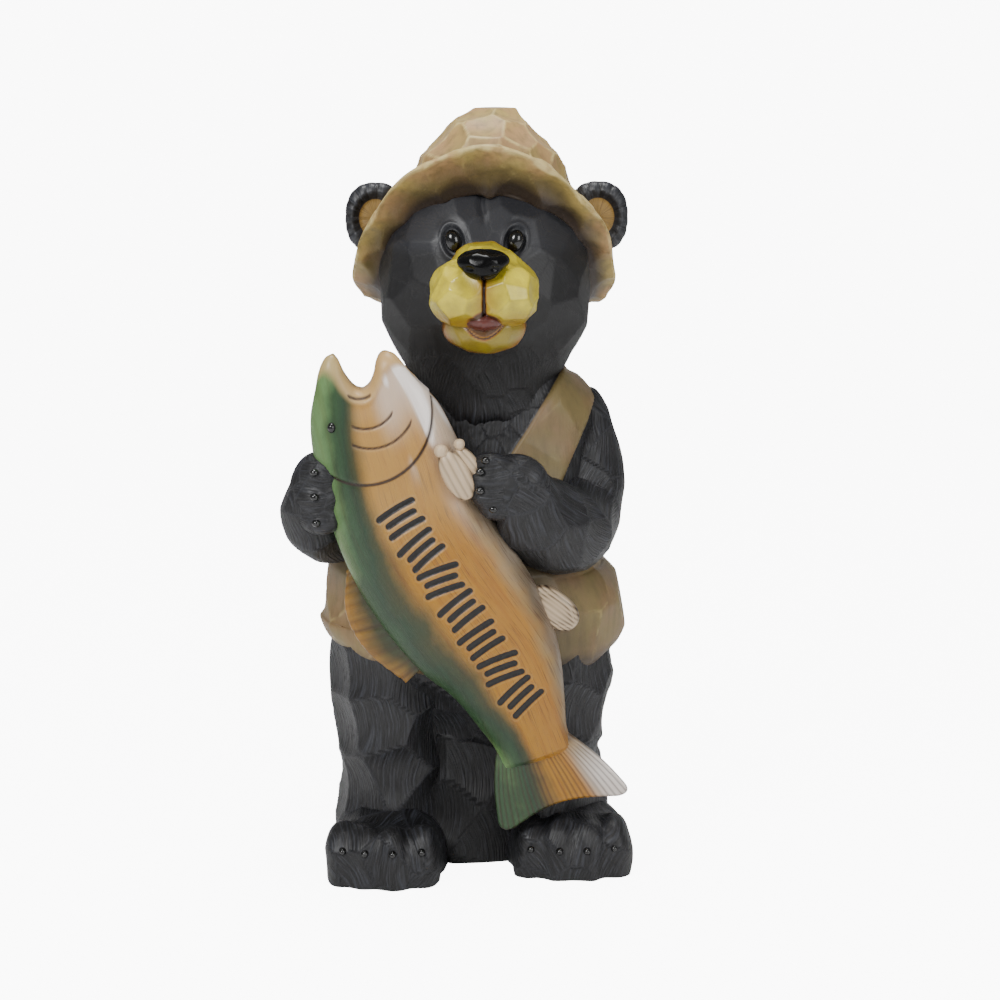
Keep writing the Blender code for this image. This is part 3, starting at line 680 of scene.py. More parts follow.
def make_brim():
    """A flattened ring: inner + (outer - inner) * share, lifted by thickness * sin(section) and a sag."""
    section = np.linspace(0, 2 * np.pi, BRIM_COLUMNS, endpoint=False)[None, :] * np.ones((BRIM_ROWS, 1))
    turn = np.linspace(0, 2 * np.pi, BRIM_ROWS)[:, None] * np.ones((1, BRIM_COLUMNS))
    inner = head_line(turn)
    inner[..., 2] -= HAIRLINE_DIP * bell(inner[..., 0] - HAIRLINE_DIP_X, 4.5) * (inner[..., 1] < 0)
    outer = rim_line(turn)
    wobble = 1.4 * np.sin(7 * turn + 0.4) + 1.0 * np.sin(11 * turn + 2.0)
    run = unit(outer - inner)
    outer = outer + run * wobble[..., None]
    level = np.stack([np.cos(turn), np.sin(turn), np.zeros_like(turn)], axis=-1)
    up = unit(np.cross(level, run))
    up = up * np.where(up[..., 2:3] < 0, -1.0, 1.0)
    share = 0.5 + 0.5 * signed_power(np.cos(section), 0.8)
    lift = BRIM_THICKNESS * signed_power(np.sin(section), 0.6) + BRIM_SAG * np.sin(np.pi * share)
    points = inner + (outer - inner) * share[..., None] + up * lift[..., None]
    ahead = np.gradient(points, axis=0)
    ahead[0] = ahead[-1] = points[1] - points[-2]
    around = np.roll(points, -1, axis=1) - np.roll(points, 1, axis=1)
    normals = unit(np.cross(ahead, around))
    height, gap, _, _ = gouge(points, **BRIM_SCOOPS)
    height = np.clip(height, -BRIM_SCOOP_DEPTH, BRIM_SCOOP_DEPTH)
    edge = step(0.0, 0.06, 1 - share) * step(0.0, 0.05, share)
    points = points + normals * (height * edge)[..., None]
    points[-1] = points[0]
    under = step(0.25, -0.25, np.sin(section))
    # Painted shade on the underside near the head, reaching further out towards the sides and back.
    wander = 0.07 * noise(points, 22.0, 3)
    side = 1 - np.cos(turn)
    depth = 0.50 + 0.14 * np.clip(side, 0, 1.6)
    dark = step(depth, 0.08, share + wander) * under
    tip = step(0.80, 0.97, share) * (1 - under)
    # Painted light: the upper face, the rim and the outer half of the ring are paler.
    painted_light = np.clip(0.35 * (1 - under) + 0.3 * tip + 0.95 * step(0.5, 0.92, share), 0, 1)
    facts = cloth_facts(gap, HAT_RIDGE_WIDTH, painted_light, 0.0)
    # Dry brush on the ridges, weakened on the underside as painted shade, and a painted highlight along the
    # rim.
    facts["ridge"] = np.maximum(facts["ridge"] * (1 - 0.7 * under), 0.9 * step(0.86, 0.98, share))
    # Painted shade on the viewer's right of the underside, away from the key light.
    to_right = 0.45 * step(30.0, 70.0, points[..., 0]) * step(1.0, 0.7, share)
    facts["shade"] = np.clip(0.95 * dark + (0.2 + to_right) * under * step(0.95, 0.4, share), 0, 0.97)
    for key in ("ridge", "painted_light", "shade"):
        facts[key][-1] = facts[key][0]
    return points, facts


brim_points, brim_facts = make_brim()
make_piece("hat_brim", brim_points, cloth_paint, brim_facts)

# %% [markdown]
# The crown is cut in facets about 20 mm across, each outlined in pale paint. It starts a little above the
# head line, so that its foot never shows under the brim. Painted light makes it paler towards the top, and
# painted shade darkens its foot just above the brim.

# %% The crown
CROWN_PEAK = 615.0
CROWN_TOP = (7.0, 12.0)
CROWN_WIDER = 0.97
CROWN_DEEPER = 1.12
CROWN_POWER = 2.3
CROWN_ROUND = 1.25
CROWN_LIFT = 6.0
CROWN_FOOT = 25.0
CROWN_GRID = (100, 220)
CROWN_FACETS = dict(spacing=21.0, hollow=0.015, tilt=0.05, seed=4)


def make_crown():
    """Head line times a width that falls as (1 - h^p)^(1/q), raised by h to the peak and cut flat on top.

    Below the head line the grid turns inwards and closes inside the head."""
    rise, turn = angles(*CROWN_GRID, bottom=-CROWN_FOOT)
    height = np.clip(np.sin(rise), 0, 1)
    open_width = np.clip(1 - height ** CROWN_POWER, 0, 1) ** (1 / CROWN_ROUND)
    closing = step(-math.radians(CROWN_FOOT), 0.0, rise)
    width = np.where(rise > 0, open_width, closing)
    width[-1] = 0.0
    base = head_line(turn)
    foot = base[..., 2] + CROWN_LIFT + CROWN_LIFT * np.clip(np.cos(turn), 0, 1)
    points = np.empty(base.shape)
    points[..., 0] = CROWN_TOP[0] * height + base[..., 0] * CROWN_WIDER * width
    points[..., 1] = (HEAD_LINE_MIDDLE_Y + (CROWN_TOP[1] - HEAD_LINE_MIDDLE_Y) * height
                      + (base[..., 1] - HEAD_LINE_MIDDLE_Y) * CROWN_DEEPER * width)
    points[..., 2] = foot * (1 - height) + CROWN_PEAK * height
    points[0] = points[0].mean(axis=0)
    normals = grid_normals(points)
    high, gap, _, _ = gouge(points, **CROWN_FACETS)
    high = np.clip(high, -2.6, 3.2) * step(-0.05, 0.1, rise)
    high[[0, -1]] = 0.0
    points = points + normals * high[..., None]
    points[..., 2] = np.minimum(points[..., 2], HAT_TOP)
    points[-1] = points[-1].mean(axis=0)
    # Painted shade near the foot, just above the brim, and painted light towards the top.
    shade = 0.35 * step(26.0, 4.0, points[..., 2] - foot)
    return points, cloth_facts(gap, HAT_RIDGE_WIDTH, 0.45 + 0.55 * step(0.3, 0.75, height), shade)


crown_points, crown_facts = make_crown()
make_piece("hat_crown", crown_points, cloth_paint, crown_facts)

# %% [markdown]
# ## The head
# Under the hat the head is a broad ball, a little squared off and a little narrower below, and it flows into
# the neck. The face is cut in large soft planes with a furrow down the brow, and fur cuts cover the neck
# and the back. The eyes are glossy ovals that lean outwards, each sunk inside a raised lid.

# %% Head and neck
HEAD_CENTRE = (0.0, 0.0, 470.0)
HEAD_HALF = (85.0, 80.0, 98.0)
HEAD_SQUARENESS = 2.2
HEAD_LOWER = 0.90
NECK_CENTRE = (0.0, -3.0, 390.0)
NECK_HALF = (58.0, 60.0, 30.0)
HEAD_TUCK = np.array([0.16, 0.22, 0.0])
EYE_CENTRE = (24.0, -70.0, 511.5)
EYE_HALF = (6.5, 6.5, 9.2)
EYE_LEAN = math.radians(14)
EYE_GRID = (28, 40)
NECK_BLEND = 16.0
FURROW_DEPTH = 2.2
SOCKET_DEPTH = 2.6
LID_RISE = 0.8
NECK_RAGGED = 3.5
HEAD_REACH = 160.0
HEAD_GRID = (190, 270)
FACE_PLANES = dict(spacing=24.0, hollow=0.0050, tilt=0.03, uneven=0.25, seed=5)
FACE_PLANE_DEPTH = 2.4
NECK_TUFTS = dict(spacing=19.0, hollow=0.004, tilt=0.03, seed=6)
NECK_FUR = dict(pitch=3.4, depth=0.9, seed=6)


def head_field(points):
    """The squared ball with its lower half shortened, softly joined to a drum for the neck."""
    ball = points - np.array(HEAD_CENTRE)
    half = np.array(HEAD_HALF) * np.ones(points.shape)
    half[..., 2] = np.where(ball[..., 2] < 0, HEAD_HALF[2] * HEAD_LOWER, HEAD_HALF[2])
    scaled_ball = (np.abs(ball / half) ** HEAD_SQUARENESS).sum(axis=-1) ** (1 / HEAD_SQUARENESS)
    drum = points - np.array(NECK_CENTRE)
    ring = np.hypot(drum[..., 0] / NECK_HALF[0], drum[..., 1] / NECK_HALF[1])
    scaled_drum = (ring ** 6 + np.abs(drum[..., 2] / NECK_HALF[2]) ** 6) ** (1 / 6)
    return soft_union([(scaled_ball - 1) * HEAD_HALF[1], (scaled_drum - 1) * NECK_HALF[0]], NECK_BLEND)


def eye_distance(points, side):
    """How many eye sizes a point is from one eye's middle, seen from the front with the eye's lean."""
    x = points[..., 0] - side * EYE_CENTRE[0]
    z = points[..., 2] - EYE_CENTRE[2]
    u = x * math.cos(EYE_LEAN) - side * z * math.sin(EYE_LEAN)
    v = z * math.cos(EYE_LEAN) + side * x * math.sin(EYE_LEAN)
    far = np.where(points[..., 1] < -30, 0.0, 9.0)
    return np.hypot(u / EYE_HALF[0], v / EYE_HALF[2]) + far


def tucked(points):
    """1 where the head's back is inside the hat's crown, which it must not pierce, 0 where it shows."""
    inside = step(418.0, 442.0, points[..., 2:3])
    return step(-15.0, 30.0, points[..., 1:2]) * inside


def make_head():
    """Soft planes on the face, a brow furrow, eye sockets with raised lids, and fur on neck and back."""
    points = blob(HEAD_CENTRE, head_field, HEAD_REACH, *HEAD_GRID)
    points = points * (1 - HEAD_TUCK * tucked(points))
    normals = grid_normals(points)
    z = points[..., 2]
    broad, gap, _, _ = gouge(points, **FACE_PLANES)
    tufts, tuft_gap, tuft, tuft_centres = gouge(points, **NECK_TUFTS)
    flow = unit(points - np.array([0.0, -95.0, 500.0])) + np.array([0.0, 0.0, -0.6])
    cuts, across, along = fur_cuts(points, normals, flow, tuft_gap, tuft, tuft_centres, **NECK_FUR)
    neck = step(424.0, 400.0, z + 0.16 * points[..., 1] + 3.0 * noise(points, 14.0, 9))
    rear = step(-30.0, 30.0, points[..., 1])
    fur = np.clip(neck + 0.7 * rear, 0.0, 1.0)
    height = np.clip(broad, -FACE_PLANE_DEPTH, FACE_PLANE_DEPTH) * (1 - 0.7 * neck)
    height = height + (cuts + 0.6 * np.clip(tufts, -1.5, 1.5) * neck) * fur
    furrow = bell(points[..., 0] + 1.0 + 1.5 * noise(points, 12.0, 2), 2.8)
    furrow = furrow * step(522.0, 536.0, z) * (points[..., 1] < 0)
    height = height - FURROW_DEPTH * furrow
    for side in (-1, 1):
        away = eye_distance(points, side)
        calm = step(2.3, 1.5, away)
        lid = LID_RISE * bell(away - 1.5, 0.12) - SOCKET_DEPTH * step(1.42, 1.15, away)
        height = height * (1 - calm) + lid
    bearing = np.arctan2(points[..., 0], -points[..., 1])
    ragged = noise(np.stack([bearing * 16, 0 * z, 0 * z], axis=-1), 1.0, 8)
    height[[0, -1]] = 0
    points = points + normals * height[..., None]
    points[..., 2] += NECK_RAGGED * ragged * step(385.0, 366.0, z)
    facts = fur_facts(cuts * fur, tuft_gap, across, along, 1.3)
    # Painted highlight: the brow, lit from above, takes the slate crest colour through the ridge number.
    brow = 1.4 * step(490.0, 515.0, z) * step(20.0, -20.0, points[..., 1])
    lit = 0.5 * facts["ridge"] * neck + 0.9 * brow + 0.2 * bell(gap, 1.5) * (1 - neck)
    facts["ridge"] = np.clip(lit, 0, 1)
    facts["smooth"] = np.clip(1 - fur, 0, 0.9)
    # Painted shade under the chin, on the viewer's right of the face, low on the left cheek, and along the
    # hairline under the brim.
    under_chin = step(455.0, 425.0, z) * step(20.0, -40.0, points[..., 1]) * step(372.0, 395.0, z)
    side_face = 0.5 * step(30.0, 70.0, points[..., 0])
    side_face = side_face + 0.3 * step(40.0, 75.0, -points[..., 0]) * step(495.0, 465.0, z)
    hairline = step(528.0, 545.0, z + 0.25 * np.abs(points[..., 0]) * (points[..., 1] < 0))
    facts["painted_shade"] = np.clip(0.9 * under_chin + 0.7 * side_face * (1 - neck) + 0.15 * hairline, 0, 1)
    return points, facts


head_points, head_facts = make_head()
make_piece("head_and_neck", head_points, fur_paint, head_facts)


# %% Eyes
def make_bead(centre, half, rows=14, columns=20):
    """A small oval bead."""
    return rays_of(*angles(rows, columns)) * np.array(half) + np.array(centre, float)


def make_eye(side):
    """An oval bead leaning outwards by the same angle as its lid, its face flush with the lid's rim."""
    ball = make_bead((0.0, 0.0, 0.0), EYE_HALF, *EYE_GRID)
    x = ball[..., 0] * math.cos(EYE_LEAN) + side * ball[..., 2] * math.sin(EYE_LEAN)
    z = ball[..., 2] * math.cos(EYE_LEAN) - side * ball[..., 0] * math.sin(EYE_LEAN)
    return np.stack([x + side * EYE_CENTRE[0], ball[..., 1] + EYE_CENTRE[1], z + EYE_CENTRE[2]], axis=-1)


for eye_name, eye_side in (("eye_left", -1), ("eye_right", 1)):
    make_piece(eye_name, make_eye(eye_side), gloss_black)

# %% [markdown]
# ## Muzzle, mouth and nose
# The muzzle is one dome with two full cheek lobes and the split line of the upper lip between them. Below
# it the chin is a small open lower jaw with the tongue inside.

# %% Muzzle
LOBE = dict(centre=(17.5, -90.0, 473.5), half=(24.0, 34.0, 24.0))
BRIDGE = dict(centre=(0.0, -82.0, 480.0), half=(29.0, 36.0, 31.0))
MUZZLE_SQUARENESS = 2.1
MUZZLE_BLEND = 8.0
MUZZLE_REACH = 80.0
MUZZLE_GRID = (120, 180)
MUZZLE_PLANES = dict(spacing=13.5, hollow=0.027, tilt=0.10, uneven=0.3, seed=9)
MUZZLE_DEPTHS = (-1.8, 2.2)
FACE_CROWDING = 0.45
SPLIT_DEPTH = 2.6
SPLIT_VALLEY = 1.2


def make_muzzle():
    """Two lobes and a bridge, carved in small planes, with the lip's split cut between the lobes."""
    def field(points):
        x, y, z = LOBE["centre"]
        lobes = [oval(points, (side * x, y, z), LOBE["half"], MUZZLE_SQUARENESS) for side in (-1, 1)]
        dome = oval(points, BRIDGE["centre"], BRIDGE["half"], MUZZLE_SQUARENESS)
        return soft_union([dome, lobes[0], lobes[1]], MUZZLE_BLEND)

    points = blob(BRIDGE["centre"], field, MUZZLE_REACH, *MUZZLE_GRID, FACE_CROWDING)
    normals = grid_normals(points)
    planes, gap, winner, _ = gouge(points, **MUZZLE_PLANES)
    height = np.clip(planes, *MUZZLE_DEPTHS)
    x, y, z = points[..., 0], points[..., 1], points[..., 2]
    middle = np.abs(x)
    front = y < -95
    split = bell(middle, 1.2) * step(497.0, 490.0, z) * step(450.0, 456.0, z) * front
    height = height - SPLIT_DEPTH * split
    height = height - SPLIT_VALLEY * bell(middle, 4.0) * step(497.0, 488.0, z) * front
    height[[0, -1]] = 0
    carved = points + normals * height[..., None]
    rim = step(-66.0, -84.0, y + 0.10 * middle)
    orange = bell(middle, 9.0) * step(498.0, 490.0, z) * step(456.0, 466.0, z) * front
    # Painted shade on the muzzle's underside and in the arch over the open mouth.
    under = step(466.0, 452.0, z)
    lip = 462.0 - 0.035 * middle * middle
    arch = 0.7 * step(15.0, 9.0, middle) * step(0.0, -2.5, z - lip) * front
    shade = np.clip(0.8 * (1 - rim) + 0.32 * orange + 1.3 * split + 0.3 * under + arch, 0, 1)
    uneven_olive = 0.25 * step(-0.2, 1.0, np.sin(winner * 2.4))
    # Painted shade: the lower muzzle turns olive. Each plane also gets a random olive tint, and the ridges a
    # little.
    olive = 0.45 * step(472.0, 452.0, z) + uneven_olive + 0.25 * step(1.5, 0.0, gap)
    return carved, {"shade": shade, "pink": 0.0, "olive": np.clip(olive, 0, 1)}


muzzle_points, muzzle_facts = make_muzzle()
make_piece("muzzle", muzzle_points, muzzle_paint, muzzle_facts)


# %% Chin and tongue
CHIN = dict(centre=(0.0, -75.0, 446.0), half=(33.0, 31.0, 21.0))
CHIN_REACH = 60.0
CHIN_GRID = (70, 120)
CHIN_PLANES = dict(spacing=13.0, hollow=0.012, seed=12)
CHIN_DEPTHS = (-0.9, 1.0)
SMILE_LOW = 439.5
SMILE_CURVE = 0.045
SMILE_DEPTH = 1.6
TONGUE = dict(centre=(0.0, -99.0, 454.0), half=(16.0, 14.0, 8.5))
TONGUE_GRID = (30, 50)
TONGUE_GROOVE = 1.5


def make_chin():
    """The lower jaw: an oval carved in small planes, with the smile's line cut where the mouth opens."""
    def field(at):
        return oval(at, CHIN["centre"], CHIN["half"])

    points = blob(CHIN["centre"], field, CHIN_REACH, *CHIN_GRID, FACE_CROWDING)
    normals = grid_normals(points)
    planes, _, _, _ = gouge(points, **CHIN_PLANES)
    height = np.clip(planes, *CHIN_DEPTHS)
    x, y, z = points[..., 0], points[..., 1], points[..., 2]
    lip = SMILE_LOW + SMILE_CURVE * x * x
    smile = bell(z - lip, 1.1) * step(21.0, 18.0, np.abs(x)) * (y < -85)
    height = height - SMILE_DEPTH * smile
    height[[0, -1]] = 0
    points = points + normals * height[..., None]
    # Painted shade at the back of the chin, under the muzzle, and inside the open mouth; the smile's cut is
    # darkened as well.
    inside = step(1.0, 3.0, z - lip)
    rear = step(-96.0, -76.0, y)
    shade = np.clip(0.08 + 0.75 * rear + 1.2 * smile + 0.8 * inside, 0, 1)
    return points, {"shade": shade, "pink": 0.0, "olive": 1.0}


def make_tongue():
    """A flattened oval in the open mouth, with a shallow middle line."""
    points = make_bead(TONGUE["centre"], TONGUE["half"], *TONGUE_GRID)
    # Painted shade on the back of the tongue, deep in the mouth.
    shade = 0.5 * step(-100.0, -88.0, points[..., 1])
    points[..., 2] -= bell(points[..., 0], TONGUE_GROOVE)
    return points, {"shade": shade, "pink": 1.0, "olive": 0.0}


chin_points, chin_facts = make_chin()
make_piece("chin", chin_points, muzzle_paint, chin_facts)
tongue_points, tongue_facts = make_tongue()
make_piece("tongue", tongue_points, muzzle_paint, tongue_facts)


# %% Nose
NOSE_PAD = dict(centre=(-1.0, -114.0, 501.5), half=(20.0, 13.0, 8.0), squareness=2.3)
NOSE_FRONT = dict(centre=(-1.0, -116.0, 496.0), half=(13.5, 13.0, 9.5), squareness=2.2)
NOSE_BLEND = 5.0
NOSE_MIDDLE = (-1.0, -114.0, 499.0)
NOSE_REACH = 40.0
NOSE_GRID = (56, 90)
NOSE_PLANES = dict(spacing=8.5, hollow=0.018, seed=14)
NOSE_DEPTH = 0.7
NOSTRIL_AWAY = 10.0
NOSTRIL_HEIGHT = 496.5
NOSTRIL_HALF = (4.5, 2.6)
NOSTRIL_DEPTH = 1.8


def make_nose():
    """A wide pad on top and a narrower front below it, softly joined, with two shallow nostrils."""
    def field(points):
        return soft_union([oval(points, **NOSE_PAD), oval(points, **NOSE_FRONT)], NOSE_BLEND)

    points = blob(NOSE_MIDDLE, field, NOSE_REACH, *NOSE_GRID)
    normals = grid_normals(points)
    planes, _, _, _ = gouge(points, **NOSE_PLANES)
    height = np.clip(planes, -NOSE_DEPTH, NOSE_DEPTH)
    x, y, z = points[..., 0] - NOSE_MIDDLE[0], points[..., 1], points[..., 2]
    for side in (-1, 1):
        pit = np.hypot((x - side * NOSTRIL_AWAY) / NOSTRIL_HALF[0], (z - NOSTRIL_HEIGHT) / NOSTRIL_HALF[1])
        height = height - NOSTRIL_DEPTH * step(1.2, 0.3, pit) * (y < NOSE_MIDDLE[1])
    height[[0, -1]] = 0
    return points + normals * height[..., None]


make_piece("nose", make_nose(), gloss_black, {"calm": 1.0})

# %% [markdown]
# ## Ears
# Each ear is a cupped disc behind the brim: a thick black rim cut in broad wedges that fan out from the
# middle, and an ochre hollow that faces forwards.

# %% Ears
EAR_LEFT = (-87.5, 8.0, 522.0)
EAR_RIGHT = (90.5, 8.0, 523.0)
EAR_HALF = (24.5, 11.0, 28.5)
EAR_SQUARENESS = 2.4
EAR_CUP = 8.0
EAR_WEDGES = 17
EAR_GRID = (64, 90)


def make_ear(centre, seed):
    """A squared disc whose front sinks inside the rim, with rounded wedges round the rim."""
    rise, turn = angles(*EAR_GRID)
    points = signed_power(rays_of(rise, turn), 2.0 / EAR_SQUARENESS) * np.array(EAR_HALF)
    reach = np.hypot(points[..., 0] / EAR_HALF[0], points[..., 2] / EAR_HALF[2])
    bearing = np.arctan2(points[..., 2], points[..., 0])
    front = points[..., 1] < 0
    phase = EAR_WEDGES * bearing / (2 * np.pi) + 0.25 * noise(points, 16.0, seed)
    wedge = np.abs(np.sin(np.pi * phase)) ** 0.6
    cuts = (1 - wedge) * step(0.45, 0.75, reach)
    scale = 1 - 0.02 * cuts
    points[..., 0] *= scale
    points[..., 2] *= scale
    points[..., 1] = points[..., 1] + (EAR_CUP * step(0.80, 0.45, reach) + 1.5 * cuts) * front
    points = points + np.array(centre)
    facts = {"hollow": step(0.60, 0.48, reach) * front, "relief": 1 - 0.8 * cuts,
             "ridge": 0.9 * wedge * front, "hair_across": bearing * 22.0, "hair_along": reach * 20.0}
    return points, facts


for ear_name, ear_centre, ear_seed in (("ear_left", EAR_LEFT, 15), ("ear_right", EAR_RIGHT, 16)):
    ear_points, ear_facts = make_ear(ear_centre, ear_seed)
    make_piece(ear_name, ear_points, ear_paint, ear_facts)

# %% [markdown]
# ## Body and vest
# The vest is not a separate shell: it stands about 3 mm proud of the fur where it ends, at the V neck and
# the armholes. So the body is one form, and a distance to the vest's outline raises the vest and changes
# the paint at the same place.

# %% Body and vest
TORSO = [(-12, 0, 166, 119, 87), (-11, 0, 200, 122, 88), (-14, 0, 240, 109, 85), (-7, 2, 300, 96, 76),
         (-3, 3, 345, 92, 67), (0, 4, 376, 88, 60), (0, 5, 392, 74, 56), (0, 6, 400, 64, 54),
         (0, 6, 418, 60, 50)]
NECK_POINT = (0.0, 311.0)
NECK_SLOPE = 1.5
NECK_BACK = 392.0
ARMHOLE_POINT = (60.0, 318.0)
ARMHOLE_SLOPE = 0.45
ARMHOLE_BACK = 76.0
ARMHOLE_LOW = 268.0
VEST_THICKNESS = 3.0
HEM_RISE = 8.0
BODY_SIDE = (1, 0, 0)
BODY_CAP = 14.0
BODY_SQUARENESS = 2.15
BODY_GRID = (200, 300)
VEST_SCOOPS = dict(spacing=34.0, hollow=0.0050, tilt=0.04, seed=20)
VEST_SCOOP_DEPTH = 2.6
CHEST_TUFTS = dict(spacing=24.0, hollow=0.003, seed=21)
CHEST_FUR = dict(pitch=3.2, depth=1.3, swing=0.15, seed=21)


def vest_edge(points):
    """Millimetres inside the vest's outline, along the level: the least of the distances to the V neck and
    the armholes, which slope in front and are upright on the back."""
    x, y, z = np.abs(points[..., 0]), points[..., 1], points[..., 2]
    neck = np.where(y < 0, NECK_POINT[1] + NECK_SLOPE * np.abs(x - NECK_POINT[0]), NECK_BACK) - z
    strap = ARMHOLE_POINT[0] + ARMHOLE_SLOPE * (z - ARMHOLE_POINT[1])
    armhole = np.maximum(np.where(y < 0, strap, ARMHOLE_BACK) - x, ARMHOLE_LOW - z)
    return np.minimum(neck / NECK_SLOPE, armhole)


def make_body():
    """Sections up the body, gouged on the vest and cut as fur in the neck, with a slightly wavy hem."""
    points, _, along, turn = swept(TORSO, BODY_SIDE, BODY_CAP, BODY_SQUARENESS, *BODY_GRID)
    normals = grid_normals(points)
    bowls, gap, _, _ = gouge(points, **VEST_SCOOPS)
    _, tuft_gap, tuft, tuft_centres = gouge(points, **CHEST_TUFTS)
    flow = np.zeros(points.shape) + np.array([0.0, 0.0, -1.0])
    cuts, across, lengthwise = fur_cuts(points, normals, flow, tuft_gap, tuft, tuft_centres, **CHEST_FUR)
    edge = vest_edge(points) + 0.6 * noise(points, 18.0, 22)
    vest = step(-1.0, 0.6, edge)
    roll = bell(edge - 3.0, 2.4)
    scoops = np.clip(bowls, -VEST_SCOOP_DEPTH, VEST_SCOOP_DEPTH) * step(0, 12, edge) * step(0.0, 0.16, along)
    height = vest * (scoops + VEST_THICKNESS + 0.5 * roll) + (1 - vest) * cuts
    height = height * step(0.0, 0.004, along) * step(1.0, 0.99, along)
    hem = 1.2 * np.sin(5 * turn + 0.6) + 0.8 * np.sin(11 * turn)
    hem = hem + HEM_RISE * step(0.72, 1.0, np.abs(np.sin(turn)))
    hem = hem * step(0.14, 0.0, along)
    points = points + normals * height[..., None]
    points[..., 2] += hem
    x, y, z = points[..., 0], points[..., 1], points[..., 2]
    facts = fur_facts(cuts, gap, across, lengthwise, 2.0)
    facts["ridge"] = facts["ridge"] * (0.15 + 0.25 * step(250.0, 200.0, z)) * (0.3 + 0.7 * vest)
    facts["edge"] = np.clip(edge, -20, 20)
    # Painted light: the lower vest is a little paler.
    facts["painted_light"] = 0.1 * step(250.0, 200.0, z)
    # Painted shade beside and under the arms, beside the fish, and along the hem.
    near_arm = step(26.0, 2.0, edge) * step(330.0, 270.0, z) * step(0, -20, y)
    under_arm = bell(z - 262.0, 20.0) * step(30.0, 60.0, np.abs(x)) * step(20, -20, y)
    near_fish = step(60.0, 20.0, np.abs(x - 25 + (z - 230) * 0.45)) * (y < 0)
    low = step(12.0, 0.0, z - 172 - hem) * 0.5
    facts["shade"] = np.clip(0.35 * near_arm + 0.4 * under_arm + 0.45 * near_fish + low, 0, 0.8)
    return points, facts


body_points, body_facts = make_body()
make_piece("body_and_vest", body_points, cloth_paint, body_facts)

# %% [markdown]
# ## Legs and feet
# Below the hem the fur is cut with deep scoops nearly 40 mm across, each filled with long cuts that run down.
# The legs are two columns with a block between them, and the block keeps the casting stiff. Painted shade
# darkens the block, the insides of the legs and the hips under the hem. The feet are thick, with four toes
# and a small glossy claw on each.

# %% Legs
HIPS = [(-11, 12, 90, 88, 50), (-11, 6, 140, 108, 66), (-12, 0, 185, 112, 80), (-12, 0, 220, 100, 76)]
LEFT_LEG = [(-75, 2, -25, 46, 56), (-76, -8, 45, 44, 57), (-75, -8, 90, 42, 58), (-75, -6, 130, 48, 66),
            (-72, -2, 170, 51, 72), (-66, 4, 215, 42, 60)]
RIGHT_LEG = [(54, 2, -25, 44, 56), (55, -8, 45, 42, 57), (54, -8, 90, 38, 58), (54, -6, 130, 47, 66),
             (52, -2, 170, 50, 72), (44, 4, 215, 42, 60)]
BETWEEN_LEGS = [(-11, 6, -25, 64, 60), (-11, 6, 50, 64, 58), (-11, 12, 110, 66, 56), (-11, 12, 150, 70, 56)]
FLOOR = 0.15
LIMB_FUR = dict(pitch=3.4, depth=0.7)
LEVEL_SIDE = (1, 0, 0)
LEG_CUT = dict(cap=8.0, rows=140, columns=190, scoop=38.0, hollow=0.0095)
HIP_CUT = dict(cap=9.0, rows=50, columns=260, scoop=34.0, hollow=0.0095)
BLOCK_CUT = dict(cap=9.0, rows=80, columns=120, scoop=34.0, hollow=0.007)
MIDDLE_OF_LEGS = -11.0
INNER_LEG_SHADE = 0.6
HIP_SHADE = 0.25
BLOCK_SHADE = 0.65


def make_fur_limb(stations, side, cap, rows, columns, scoop, hollow, seed, uneven=0.8, swing=0.3,
                  deepest=4.5, crowding=FRONT_CROWDING):
    """A swept limb with scoops, and fur cuts in each scoop that follow the limb, cut level at the floor."""
    points, ahead, along, _ = swept(stations, side, cap, 2.0, rows, columns, crowding)
    normals = grid_normals(points)
    bowls, gap, winner, centres = gouge(points, scoop, hollow, tilt=0.06, uneven=uneven, seed=seed)
    cuts, across, lengthwise = fur_cuts(points, normals, -ahead, gap, winner, centres, swing=swing,
                                        seed=seed, **LIMB_FUR)
    ends = step(0.0, 0.01, along) * step(1.0, 0.99, along)
    height = (np.clip(bowls, -deepest, deepest) + cuts) * ends
    points = points + normals * height[..., None]
    points[..., 2] = np.maximum(points[..., 2], FLOOR)
    facts = fur_facts(cuts, gap, across, lengthwise, 1.2)
    facts["smooth"] = 0.0
    facts["painted_shade"] = 0.0
    return points, facts


for leg_name, leg_stations, leg_seed in (("leg_left", LEFT_LEG, 30), ("leg_right", RIGHT_LEG, 33)):
    leg_points, leg_facts = make_fur_limb(leg_stations, LEVEL_SIDE, seed=leg_seed, **LEG_CUT)
    # Painted shade where the legs face each other, low down.
    inner = step(26.0, 5.0, np.abs(leg_points[..., 0] - MIDDLE_OF_LEGS))
    leg_facts["painted_shade"] = INNER_LEG_SHADE * inner * step(180.0, 120.0, leg_points[..., 2])
    make_piece(leg_name, leg_points, fur_paint, leg_facts)
hip_points, hip_facts = make_fur_limb(HIPS, LEVEL_SIDE, seed=36, **HIP_CUT)
# Painted shade on the hips, under the vest's hem.
hip_facts["painted_shade"] = HIP_SHADE
make_piece("hips", hip_points, fur_paint, hip_facts)
block_points, block_facts = make_fur_limb(BETWEEN_LEGS, LEVEL_SIDE, seed=38, **BLOCK_CUT)
# Painted shade on the block between the legs.
block_facts["painted_shade"] = BLOCK_SHADE
make_piece("between_legs", block_points, fur_paint, block_facts)

